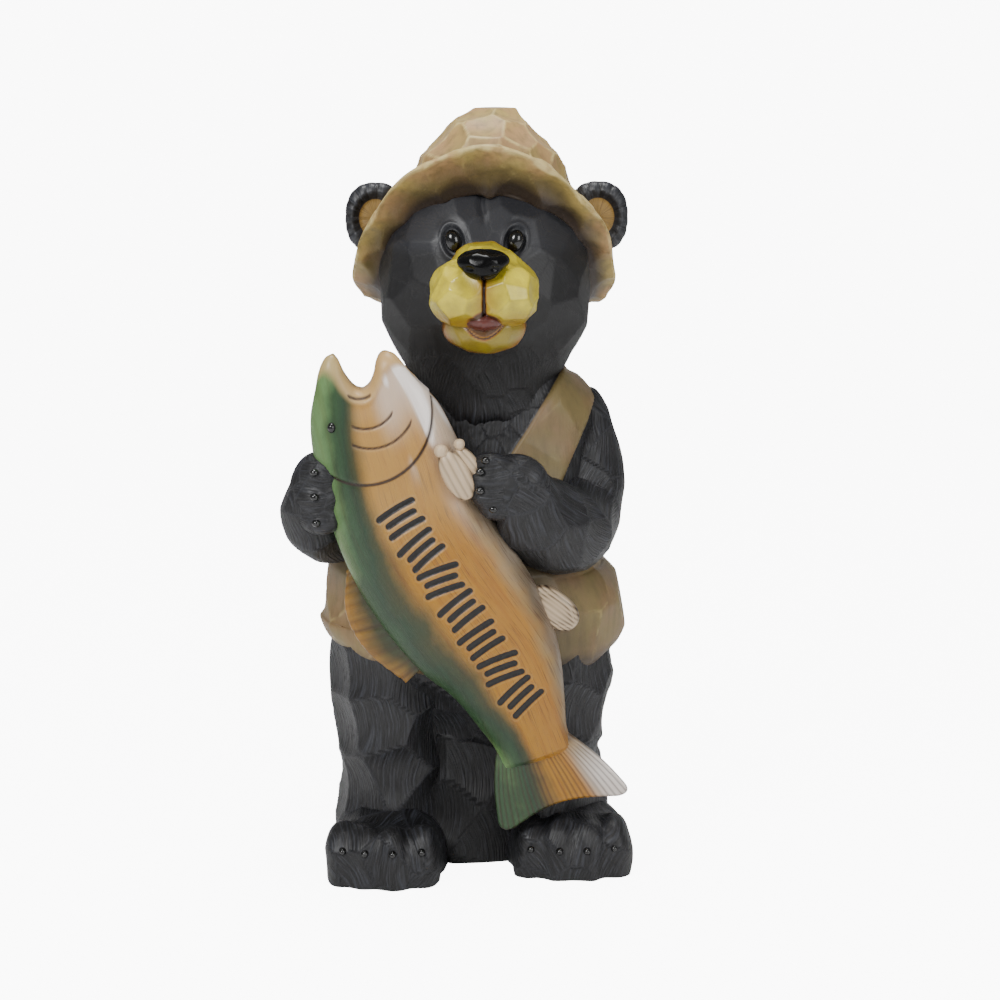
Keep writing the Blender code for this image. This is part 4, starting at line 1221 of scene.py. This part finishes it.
# %% Feet
LEFT_FOOT = dict(centre=(-78.0, -46.0, 4.0), half=(48.0, 68.0, 50.0))
RIGHT_FOOT = dict(centre=(68.0, -34.0, 4.0), half=(51.0, 62.0, 48.0))
LEFT_TOES = (-113.0, -95.0, -73.0, -50.0)
RIGHT_TOES = (37.0, 60.0, 82.0, 104.0)
TOE_HALF = (14.5, 23.0, 34.0)
TOE_HEIGHT = 12.0
TOE_SQUARENESS = 2.4
LEFT_TOE_FRONT = -98.0
RIGHT_TOE_FRONT = -76.0
FOOT_REACH = 110.0
FOOT_GRID = (100, 160)
FOOT_BLEND = 6.0
FOOT_TUFTS = dict(spacing=26.0, hollow=0.006)
FOOT_FUR = dict(pitch=3.0, depth=0.9)
TOE_CURVE = 0.0065
CLAW_HALF = (3.2, 4.4, 3.2)
FOOT_CLAW_REACH = 0.9


def toe_places(shape, toes, front):
    """Toe centres across the foot, further back towards both sides by curve * distance^2."""
    return [(x, front + TOE_CURVE * (x - shape["centre"][0]) ** 2, TOE_HEIGHT) for x in toes]


def make_foot(shape, toes, front, seed):
    """A foot ball and its toes, softly joined, with cuts that run forwards and down to the toes."""
    places = toe_places(shape, toes, front)

    def field(points):
        ball = oval(points, shape["centre"], shape["half"])
        balls = [ball] + [oval(points, place, TOE_HALF, TOE_SQUARENESS) for place in places]
        return soft_union(balls, FOOT_BLEND)

    middle = (shape["centre"][0], shape["centre"][1] - 10, 10.0)
    points = blob(middle, field, FOOT_REACH, *FOOT_GRID)
    normals = grid_normals(points)
    bowls, gap, winner, centres = gouge(points, seed=seed, **FOOT_TUFTS)
    flow = np.zeros(points.shape) + np.array([0.0, -0.7, -0.7])
    cuts, across, along = fur_cuts(points, normals, flow, gap, winner, centres, seed=seed, **FOOT_FUR)
    height = np.clip(bowls, -1.8, 1.8) + cuts
    height[[0, -1]] = 0
    points = points + normals * height[..., None]
    points[..., 2] = np.maximum(points[..., 2], FLOOR)
    facts = fur_facts(cuts, gap, across, along, 1.2)
    facts["smooth"] = 0.0
    facts["painted_shade"] = 0.0
    return points, facts


for foot_name, foot_shape, toes, front, claw_height, foot_seed in (
        ("foot_left", LEFT_FOOT, LEFT_TOES, LEFT_TOE_FRONT, 30.0, 40),
        ("foot_right", RIGHT_FOOT, RIGHT_TOES, RIGHT_TOE_FRONT, 25.0, 43)):
    foot_points, foot_facts = make_foot(foot_shape, toes, front, foot_seed)
    make_piece(foot_name, foot_points, fur_paint, foot_facts)
    for number, place in enumerate(toe_places(foot_shape, toes, front), 1):
        claw_place = (place[0], place[1] - TOE_HALF[1] * FOOT_CLAW_REACH, claw_height)
        make_piece(f"{foot_name}_claw_{number}", make_bead(claw_place, CLAW_HALF), gloss_black)

# %% [markdown]
# ## Arms and paws
# Each arm bends at the elbow and swells there, then comes forward to a paw that lies against the fish. Its
# fur cuts follow the bend. The knuckles are short lobes side by side, grown into one paw, each with a glossy
# claw.

# %% Arms
RIGHT_ARM = [(80, 4, 386, 24, 24), (81, 0, 350, 28, 28), (78, -20, 288, 37, 32), (63, -58, 280, 37, 35),
             (40, -92, 300, 34, 30), (18, -112, 324, 28, 22), (0, -118, 331, 25, 17)]
LEFT_ARM = [(-78, 6, 386, 24, 24), (-86, 4, 350, 29, 30), (-104, -4, 294, 36, 33), (-119, -40, 289, 38, 32),
            (-130, -70, 299, 36, 28), (-134, -92, 319, 31, 25), (-127, -104, 339, 22, 20)]
RIGHT_FINGERS = [(5, -119, 346), (2, -121, 333), (3, -121, 320), (10, -118, 309)]
LEFT_FINGERS = [(-125, -108, 335), (-127, -110, 316), (-125, -108, 297)]
FINGER_HALF = (13.0, 9.0, 8.5)
RIGHT_PALM = ((24.0, -108.0, 326.0), (27.0, 17.0, 25.0))
LEFT_PALM = ((-129.0, -98.0, 318.0), (23.0, 16.0, 33.0))
RIGHT_CLAWS = [(1, -126, 349), (-3, -129, 341), (-3, -129, 326), (7, -126, 311)]
LEFT_CLAWS = [(-131, -117, 338), (-131, -119, 319), (-130, -117, 298)]
PAW_CLAW_HALF = (3.6, 3.4, 3.0)
ARM_SIDE = (0.3, 0, 1)
ARM_CUT = dict(cap=3.0, rows=150, columns=160, scoop=27.0, hollow=0.0052, uneven=0.4, deepest=2.0,
               crowding=0.0)
PAW_BLEND = 7.0
PAW_REACH = 60.0
PAW_GRID = (70, 100)
PAW_TUFTS = dict(spacing=15.0, hollow=0.006)
PAW_FUR = dict(pitch=3.0, depth=0.8, swing=0.15)

for arm_name, arm_stations, arm_seed in (("arm_right", RIGHT_ARM, 50), ("arm_left", LEFT_ARM, 54)):
    arm_points, arm_facts = make_fur_limb(arm_stations, ARM_SIDE, seed=arm_seed, **ARM_CUT)
    make_piece(arm_name, arm_points, fur_paint, arm_facts)


def make_paw(fingers, palm, aim, seed):
    """The knuckle lobes and the palm softly joined, with cuts along them. aim is +1 or -1 along x."""
    def field(points):
        lobes = [oval(points, place, FINGER_HALF) for place in fingers]
        return soft_union([oval(points, *palm)] + lobes, PAW_BLEND)

    centre = 0.5 * np.mean(np.array(fingers, float), axis=0) + 0.5 * np.array(palm[0])
    points = blob(centre, field, PAW_REACH, *PAW_GRID)
    normals = grid_normals(points)
    _, gap, winner, centres = gouge(points, seed=seed, **PAW_TUFTS)
    flow = np.zeros(points.shape) + np.array([float(aim), 0.0, 0.0])
    cuts, across, along = fur_cuts(points, normals, flow, gap, winner, centres, seed=seed, **PAW_FUR)
    cuts[[0, -1]] = 0
    facts = fur_facts(cuts, gap, across, along, 1.0)
    facts["smooth"] = 0.1
    facts["painted_shade"] = 0.0
    return points + normals * cuts[..., None], facts


for paw_name, fingers, palm, claws, aim in (("right", RIGHT_FINGERS, RIGHT_PALM, RIGHT_CLAWS, -1),
                                            ("left", LEFT_FINGERS, LEFT_PALM, LEFT_CLAWS, 1)):
    paw_points, paw_facts = make_paw(fingers, palm, aim, 60)
    make_piece(f"paw_{paw_name}", paw_points, fur_paint, paw_facts)
    for number, place in enumerate(claws, 1):
        make_piece(f"claw_{paw_name}_{number}", make_bead(place, PAW_CLAW_HALF), gloss_black)

# %% [markdown]
# ## The trout
# The fish slants across the body from the viewer's upper left. Its middle line is a smooth curve and its
# section a flattened oval. Over the last part of the head the rows are drawn on to a second curve, the
# outline of the open mouth, so both jaws and the notch between them belong to the same skin.
#
# Rows of plain strokes are cut into the flank. Their distance is a number on the skin, so the dark paint
# ends exactly at the cut.

# %% Fish body
FISH = [(44, -90, 98, 30, 9), (37, -90, 118, 30, 15), (30, -91, 138, 36, 20), (10, -95, 186, 50, 25),
        (-6, -97, 210, 57, 28), (-34, -98, 251, 60, 30), (-57, -98, 290, 58, 30), (-74, -98, 341, 57, 27),
        (-88, -98, 378, 50, 22), (-94, -98, 402, 34, 15)]
FISH_SIDE = (0.86, 0.0, 0.5)
FISH_GRID = (280, 220)
NO_LINE = 20.0
MOUTH_PLACES = [-1.0, -0.93, -0.86, -0.76, -0.6, -0.42, -0.2, 0.0, 0.18, 0.36, 0.52, 0.66, 0.8, 0.92, 1.0]
MOUTH_OUTLINE = [(-123.0, 410.0), (-121.0, 422.0), (-117.6, 427.6), (-113.6, 425.0), (-108.4, 414.4),
                 (-102.1, 405.6), (-96.5, 402.1), (-92.1, 402.7), (-87.6, 407.7), (-84.2, 417.7),
                 (-81.8, 427.0), (-77.4, 430.5), (-72.6, 428.5), (-67.7, 421.0), (-64.0, 416.0)]
MOUTH_BLEND = 0.82
GILL = dict(centre=(-94.0, 383.0), radius=53.0, step=2.6, fade=45.0)
CHEEK_ARCS = [((-92.0, 398.0), 25.4, -101.3, -70.6), ((-88.0, 393.0), 35.2, -100.8, -56.5),
              ((-96.0, 410.0), 15.5, -104.3, -87.0)]
BAND_START = (-72.0, 316.0)
BAND_END = (36.0, 146.0)
STROKE_ROWS = 7
STROKE_HALF_LENGTHS = (15.0, 11.5, 14.0)
STROKE_HALF_WIDTH = 2.6
STROKE_PITCH = 8.4
STROKE_DEPTH = 1.7
STROKE_TURN = 12.0
STROKE_TURN_STEP = 2.3
STROKE_BEND = 0.004


def stroke_distance(points):
    """Millimetres outside the nearest stroke: short bars across the band, three to a row, each row turned
    a little from the one before."""
    start = np.array(BAND_START)
    run = np.array(BAND_END) - start
    length = np.linalg.norm(run)
    way = run / length
    flat = points[..., [0, 2]] - start
    along = flat @ way
    across = flat @ np.array([-way[1], way[0]])
    least = np.full(along.shape, 20.0)
    for row in range(STROKE_ROWS):
        turn = math.radians(STROKE_TURN * math.sin(STROKE_TURN_STEP * row))
        here = along - length * (row + 0.5) / STROKE_ROWS
        u = here * math.cos(turn) + across * math.sin(turn)
        v = across * math.cos(turn) - here * math.sin(turn)
        for cut, half in enumerate(STROKE_HALF_LENGTHS):
            past = np.maximum(np.abs(v) - half, 0.0)
            away = np.hypot(u - (cut - 1) * STROKE_PITCH - STROKE_BEND * v * v, past) - STROKE_HALF_WIDTH
            least = np.minimum(least, away)
    return least


def make_fish_body():
    """Flattened sections along the curve, closed at the tail, drawn on to the mouth's outline at the head.

    With w rising from 0 to 1 over the head, a point is its section's point plus w times the way from the
    last section to the mouth's outline at the same share across."""
    rows, columns = FISH_GRID
    share = np.linspace(0, 1, rows)[:, None] * np.ones((1, columns))
    turn = np.linspace(0, 2 * np.pi, columns, endpoint=False)[None, :] * np.ones((rows, 1))
    stations = np.asarray(FISH, float)
    steps = np.linalg.norm(np.diff(stations[:, :3], axis=0), axis=1)
    knots = np.concatenate([[0], np.cumsum(steps)])
    total = knots[-1]
    line = through(knots, stations, share * total)
    ahead = unit(through(knots, stations[:, :3], share * total + 1)
                 - through(knots, stations[:, :3], share * total - 1))
    side = np.asarray(FISH_SIDE, float)
    side = unit(side - ahead * (ahead @ side)[..., None])
    across = np.sin(turn)
    close = np.sqrt(np.clip(1 - ((share - 0.965) / 0.035).clip(0, 1) ** 2, 0, 1))
    close = close * np.sqrt(np.clip(share / 0.02, 0, 1))
    deep = -signed_power(np.cos(turn), 0.9) * line[..., 4] * close
    points = line[..., :3] + side * (across * line[..., 3])[..., None]
    mouth = through(MOUTH_PLACES, MOUTH_OUTLINE, across[-1])
    pull = step(MOUTH_BLEND - 0.1, 1.0, share)[..., None]
    points[..., [0, 2]] += pull * (mouth - points[-1][:, [0, 2]])
    points[..., 1] += deep
    normals = grid_normals(points)
    front = step(0.0, 3.0, line[..., 1] - points[..., 1])
    x, z = points[..., 0], points[..., 2]

    inside = GILL["radius"] - np.hypot(x - GILL["centre"][0], z - GILL["centre"][1])
    cover = step(-0.9, 0.9, inside) * step(GILL["fade"], 0.0, inside)
    gill_line = np.abs(inside + 0.8) + NO_LINE * step(0.6, 0.45, share)
    line_gap = np.minimum(gill_line, NO_LINE)
    for centre, radius, left, right in CHEEK_ARCS:
        away = np.abs(np.hypot(x - centre[0], z - centre[1]) - radius) + 0.25
        past = np.maximum(np.maximum(left - x, x - right), 0.0) + NO_LINE * (z > centre[1])
        line_gap = np.minimum(line_gap, away + past)
    head = step(-4.0, 4.0, inside) * step(0.5, 0.6, share)
    lip = step(0.955, 0.975, share)
    stroke_gap = np.where(front > 0.5, stroke_distance(points), NO_LINE)
    sunk = step(0.7, -0.7, stroke_gap)
    scoops = noise(np.stack([across * 2.0, share * 7.0, 0 * x], axis=-1), 1.0, 70)
    height = (GILL["step"] * cover - 0.6 * bell(line_gap, 1.6)) * front + 0.5 * scoops
    height = height + 0.9 * lip * step(1.0, 0.985, share) - STROKE_DEPTH * sunk
    fade = step(0.0, 0.004, share) * step(1.0, 0.993, share)
    points = points + normals * (height * fade)[..., None]

    toward_head = step(0.55, 0.75, share)
    toward_tail = step(0.22, 0.0, share)
    tone = across + 0.17 * step(0.72, 0.5, share) * step(-0.4, -1.0, across)
    tone = tone - 0.12 * step(0.5, 1.0, across) * toward_head
    tone = tone - 0.25 * toward_tail - 0.15 * toward_head * step(-0.3, -0.6, across)
    edge_brown = bell(across - 0.93, 0.10) * step(0.75, 0.6, share) * step(-0.2, 0.4, noise(points, 40.0, 73))
    jaw = 0.4 * step(0.0, 0.35, across) * step(0.82, 0.93, share) + 0.3 * step(0.5, 0.8, across) * toward_head
    # Painted highlights: white streaks on the lower jaw, added to its pearl.
    streaks = noise(np.stack([across * 9.0, share * 8.0, 0 * x], axis=-1), 1.0, 72)
    painted_jaw_highlights = step(0.0, 0.4, streaks) * step(0.74, 0.86, share) * step(0.15, 0.45, across) * (1 - lip)
    facts = {"tone": tone, "across": across * line[..., 3], "along": share * total, "grain": 1 - 0.35 * head,
             "shade": np.clip(0.5 * step(0.992, 1.0, share) + 0.35 * edge_brown, 0, 1),
             "line": line_gap + NO_LINE * (1 - front), "stroke": stroke_gap,
             "rim": np.maximum(0.75 * lip, 0.3 * toward_head * step(-0.5, -0.2, across)),
             "pearl_and_painted_highlights": np.clip((0.9 * painted_jaw_highlights + jaw) * (1 - lip) * front, 0, 1)}
    return points, facts


fish_points, fish_facts = make_fish_body()
make_piece("fish_body", fish_points, fish_paint, fish_facts)

# %% [markdown]
# ### Tail and fins
# A fin is a thin fan: one number runs outwards from its root, another across it, and both faces meet at the
# edge. Rays are ridges that run outwards, so they are a cosine of the number that runs across.

# %% Tail
TAIL_ROOT = (37.0, -90.0, 119.0)
TAIL_ROOT_TILT = 11.0
TAIL_AIM = 24.0
TAIL_SPREAD = 24.0
TAIL_ROOT_HALF = 27.0
TAIL_MIDDLE = 60.0
TAIL_LOBE = 22.0
TAIL_ROUND = 13.0
TAIL_BULGE = 3.0
TAIL_THICKNESS = 7.0
TAIL_RAYS = 25
TAIL_GRID = (90, 220)
TAIL_PLACES = [-1, -0.45, -0.25, 0.1, 0.35, 0.55, 1.0]
TAIL_TONES = [-0.82, -0.74, -0.5, -0.2, 0.3, 0.7, 0.95]


def fin_facts(tone, across, along, groove, pearl_and_painted_highlights=0.0, rim=0.0):
    """The fish paint's numbers on a fin: brown in the grooves between its rays."""
    return {"tone": tone, "across": across, "along": along, "grain": 0.35, "shade": np.clip(groove, 0, 1),
            "stroke": NO_LINE, "line": NO_LINE, "rim": rim, "pearl_and_painted_highlights": pearl_and_painted_highlights}


def make_tail():
    """A fan from the root: aside = u * (half + bulge sin), reach = v * (middle + lobe u^2 - round at ends),
    each turned by its own angle, aim + spread * u."""
    rows, columns = TAIL_GRID
    out = np.linspace(0, 1, rows)[:, None] * np.ones((1, columns))
    turn = np.linspace(0, 2 * np.pi, columns, endpoint=False)[None, :] * np.ones((rows, 1))
    u = np.sin(turn)
    tilt = math.radians(TAIL_ROOT_TILT)
    angle = math.radians(TAIL_AIM) + math.radians(TAIL_SPREAD) * u
    corner = np.clip((np.abs(u) - 0.72) / 0.28, 0, 1)
    reach = out * (TAIL_MIDDLE + TAIL_LOBE * u * u - 1.5 * TAIL_ROUND * (1 - np.sqrt(1 - corner ** 2)))
    aside = u * (TAIL_ROOT_HALF + TAIL_BULGE * np.sin(np.pi * out))
    groove = bell(np.abs(np.sin(TAIL_RAYS * np.pi * 0.5 * (u + 1))), 0.5) * step(0.1, 0.3, out)
    close = np.sqrt(np.clip(np.minimum(out / 0.05, (1 - out) / 0.05), 0, 1))
    thick = (TAIL_THICKNESS * (1 - 0.3 * out) - 1.1 * groove) * close
    points = np.empty(u.shape + (3,))
    points[..., 0] = TAIL_ROOT[0] + aside * math.cos(tilt) + reach * np.sin(angle)
    points[..., 1] = TAIL_ROOT[1] - thick * signed_power(np.cos(turn), 0.5)
    points[..., 2] = TAIL_ROOT[2] + aside * math.sin(tilt) - reach * np.cos(angle)
    tone = through(TAIL_PLACES, TAIL_TONES, u)[..., 0]
    border = step(0.97, 1.0, out) * 0.6 + 0.7 * bell(out - 0.10, 0.05) * step(0.25, 0.4, np.abs(u - 0.1))
    facts = fin_facts(tone, u * 40, out * 60, 0.6 * groove + border)
    facts["pearl_and_painted_highlights"] = 0.75 * step(0.4, 0.8, u) * step(0.1, 0.7, out)
    return points, facts


tail_points, tail_facts = make_tail()
make_piece("fish_tail", tail_points, fish_paint, tail_facts)


# %% Back and belly fins
def make_fin(root, tip, thickness, rays_count, tones, y, groove_share, rows=40, columns=110, wave=0.0):
    """A strip between a root curve and a tip curve, both given as points in x and z.

    The columns' turn gives u twice, once on each face, and rows run from the root to the tip."""
    out = np.linspace(0, 1, rows)[:, None] * np.ones((1, columns))
    turn = np.linspace(0, 2 * np.pi, columns, endpoint=False)[None, :] * np.ones((rows, 1))
    u = 0.5 + 0.5 * np.sin(turn)
    low = through(np.linspace(0, 1, len(root)), root, u)
    high = through(np.linspace(0, 1, len(tip)), tip, u)
    groove = bell(np.cos(rays_count * np.pi * u), 0.45)
    high = high + wave * (0.5 - groove)[..., None] * unit(high - low)
    flat = low + (high - low) * out[..., None]
    close = np.sqrt(np.clip(np.minimum(out / 0.08, (1 - out) / 0.12), 0, 1))
    thick = (thickness * (1 - 0.4 * out) - 0.9 * groove * step(0.0, 0.3, out)) * close
    points = np.stack([flat[..., 0], y - thick * signed_power(np.cos(turn), 0.7), flat[..., 1]], axis=-1)
    tone = tones[0] + (tones[1] - tones[0]) * out
    return points, fin_facts(tone, u * 60, out * 20, groove_share * groove * step(0.0, 0.25, out))


DORSAL_ROOT = [(-96, 264), (-78, 232), (-56, 204), (-38, 188)]
DORSAL_TIP = [(-108, 256), (-109, 222), (-94, 192), (-62, 165)]
DORSAL = dict(thickness=6.0, rays_count=13, tones=(-0.72, -0.3), y=-97.0, groove_share=0.6, wave=0.6)
dorsal_points, dorsal_facts = make_fin(DORSAL_ROOT, DORSAL_TIP, **DORSAL)
make_piece("fin_dorsal", dorsal_points, fish_paint, dorsal_facts)


LOBE_SQUARENESS = 2.3


def make_lobe(centre, half, lean, ribs, groove_share, rows=36, columns=56, tone=0.95):
    """A squared oval lobe leaning in the picture plane, with grooves along it at even places across."""
    ball = signed_power(rays_of(*angles(rows, columns)), 2 / LOBE_SQUARENESS)
    groove = bell(np.sin(ribs * np.pi * 0.5 * (ball[..., 0] + 1)), 0.6) * (np.abs(ball[..., 0]) < 0.92)
    groove = groove * step(0.97, 0.85, np.abs(ball[..., 2]))
    spread = np.hypot(ball[..., 0], ball[..., 2])
    shape = ball * np.array(half, float)
    shape[..., 1] += 0.9 * groove * (ball[..., 1] < 0)
    x = shape[..., 0] * math.cos(lean) + shape[..., 2] * math.sin(lean)
    z = shape[..., 2] * math.cos(lean) - shape[..., 0] * math.sin(lean)
    points = np.stack([x, shape[..., 1], z], axis=-1) + np.array(centre, float)
    border = 0.55 * step(0.93, 1.0, spread) * (groove_share > 0)
    return points, fin_facts(tone, shape[..., 0], shape[..., 2], groove_share * groove + border, 0.25, 0.9)


LOBES = [("fin_pelvic", (54, -94, 225), (14, 8, 23), math.radians(128), 9, 0.9),
         ("fin_pectoral_front", (-21, -123, 337), (11, 8, 21), math.radians(-28), 4, 0.45),
         ("fin_pectoral_back", (-12, -119, 346), (7, 7, 15), math.radians(-38), 3, 0.45),
         ("fin_knob_front", (-33, -124, 356), (5.4, 5.4, 5.0), 0.0, 1, 0.0),
         ("fin_knob_back", (-19, -122, 361), (4.2, 4.6, 4.2), 0.0, 1, 0.0)]
for lobe_name, lobe_centre, lobe_half, lobe_lean, lobe_ribs, lobe_groove in LOBES:
    lobe_points, lobe_facts = make_lobe(lobe_centre, lobe_half, lobe_lean, lobe_ribs, lobe_groove)
    make_piece(lobe_name, lobe_points, fish_paint, lobe_facts)
FISH_EYE = dict(centre=(-117.2, -115.5, 372.7), half=(3.4, 4.0, 4.2))
make_piece("fish_eye", make_bead(FISH_EYE["centre"], FISH_EYE["half"]), gloss_black)
print("triangles in all", sum(triangle_total), "largest piece", max(triangle_total))

# %% [markdown]
# ## Floor, light and camera
# The statue stands on a plain pale sweep. The light is soft and mostly from above and the front, as in a
# catalogue studio: two large soft boxes, one overhead, and a dim world, so that black gloss stays black. In
# such a studio the paper is lit by lamps of its own that never reach the object. The paper's glow, seen by
# the camera only, stands for them. The camera looks from the photograph's angle, straight on and 11.5
# degrees above level.

# %% Floor
PAPER_GLOW = 9.0
FLOOR_FRONT = -4.0
FLOOR_BACK = 2.2
FLOOR_SIDE = 6.0
FLOOR_SUNK = 0.0004
SWEEP_RADIUS = 0.9
BACKDROP_TOP = 5.0


def make_floor():
    """A floor that curves up into a backdrop: a profile along y, pulled wide along x."""
    profile = [(FLOOR_FRONT, 0.0), (FLOOR_BACK, 0.0)]
    for bend in np.radians(np.arange(10, 91, 10)):
        along = FLOOR_BACK + SWEEP_RADIUS * math.sin(bend)
        profile.append((along, SWEEP_RADIUS - SWEEP_RADIUS * math.cos(bend)))
    profile.append((FLOOR_BACK + SWEEP_RADIUS, BACKDROP_TOP))
    verts = [(x, y, z - FLOOR_SUNK) for y, z in profile for x in (-FLOOR_SIDE, FLOOR_SIDE)]
    faces = [(2 * i, 2 * i + 1, 2 * i + 3, 2 * i + 2) for i in range(len(profile) - 1)]
    mesh = bpy.data.meshes.new("studio_floor")
    mesh.from_pydata(verts, [], faces)
    mesh.shade_smooth()
    material = bpy.data.materials.new("studio_white_paper")
    material.use_nodes = True
    tree = material.node_tree
    shader = tree.nodes["Principled BSDF"]
    shader.inputs["Base Color"].default_value = linear("#f4f4f4")
    shader.inputs["Roughness"].default_value = 0.9
    shader.inputs["Emission Color"].default_value = (1.0, 1.0, 1.0, 1.0)
    camera_ray = add(tree, "ShaderNodeLightPath").outputs["Is Camera Ray"]
    tree.links.new(maths(tree, camera_ray, PAPER_GLOW, "MULTIPLY"), shader.inputs["Emission Strength"])
    mesh.materials.append(material)
    floor = bpy.data.objects.new("studio_floor", mesh)
    bpy.context.scene.collection.objects.link(floor)


make_floor()


# %% Lights and camera
def area_light(name, place, target, size, power):
    """A square soft light at a place, turned to look at a target."""
    light = bpy.data.lights.new(name, "AREA")
    light.size = size
    light.energy = power
    thing = bpy.data.objects.new(name, light)
    bpy.context.scene.collection.objects.link(thing)
    thing.location = place
    way = np.array(target, float) - np.array(place, float)
    tip = math.acos(-way[2] / np.linalg.norm(way))
    thing.rotation_euler = (tip, 0.0, math.atan2(way[1], way[0]) - math.pi / 2)


WORLD_STRENGTH = 0.22
LIGHTS = [("key_softbox", (-1.3, -1.9, 1.9), (0, 0, 0.35), 1.0, 56.0),
          ("fill_softbox", (1.8, -1.7, 1.2), (0, 0, 0.3), 1.2, 24.0),
          ("top_softbox", (0.0, 0.0, 2.6), (0, 0, 0.3), 1.0, 42.0)]
for light_name, light_place, light_target, light_size, light_power in LIGHTS:
    area_light(light_name, light_place, light_target, light_size, light_power)
print("lights", [row[0] for row in LIGHTS])

world = bpy.data.worlds.new("studio_world")
world.use_nodes = True
world.node_tree.nodes["Background"].inputs["Color"].default_value = (1.0, 1.0, 1.0, 1.0)
world.node_tree.nodes["Background"].inputs["Strength"].default_value = WORLD_STRENGTH
bpy.context.scene.world = world

CAMERA_RISE = math.radians(11.5)
CAMERA_DISTANCE = 2.2
CAMERA_LENS = 97.03
SENSOR_WIDTH = 36.0
CAMERA_TARGET = ((12.2 + MIDDLE_X) * METRE, MIDDLE_Y * METRE, 0.2926)
camera_data = bpy.data.cameras.new("camera")
camera_data.lens = CAMERA_LENS
camera_data.sensor_width = SENSOR_WIDTH
camera = bpy.data.objects.new("camera", camera_data)
bpy.context.scene.collection.objects.link(camera)
camera.location = (CAMERA_TARGET[0], CAMERA_TARGET[1] - CAMERA_DISTANCE * math.cos(CAMERA_RISE),
                   CAMERA_TARGET[2] + CAMERA_DISTANCE * math.sin(CAMERA_RISE))
camera.rotation_euler = (math.pi / 2 - CAMERA_RISE, 0.0, 0.0)
bpy.context.scene.camera = camera
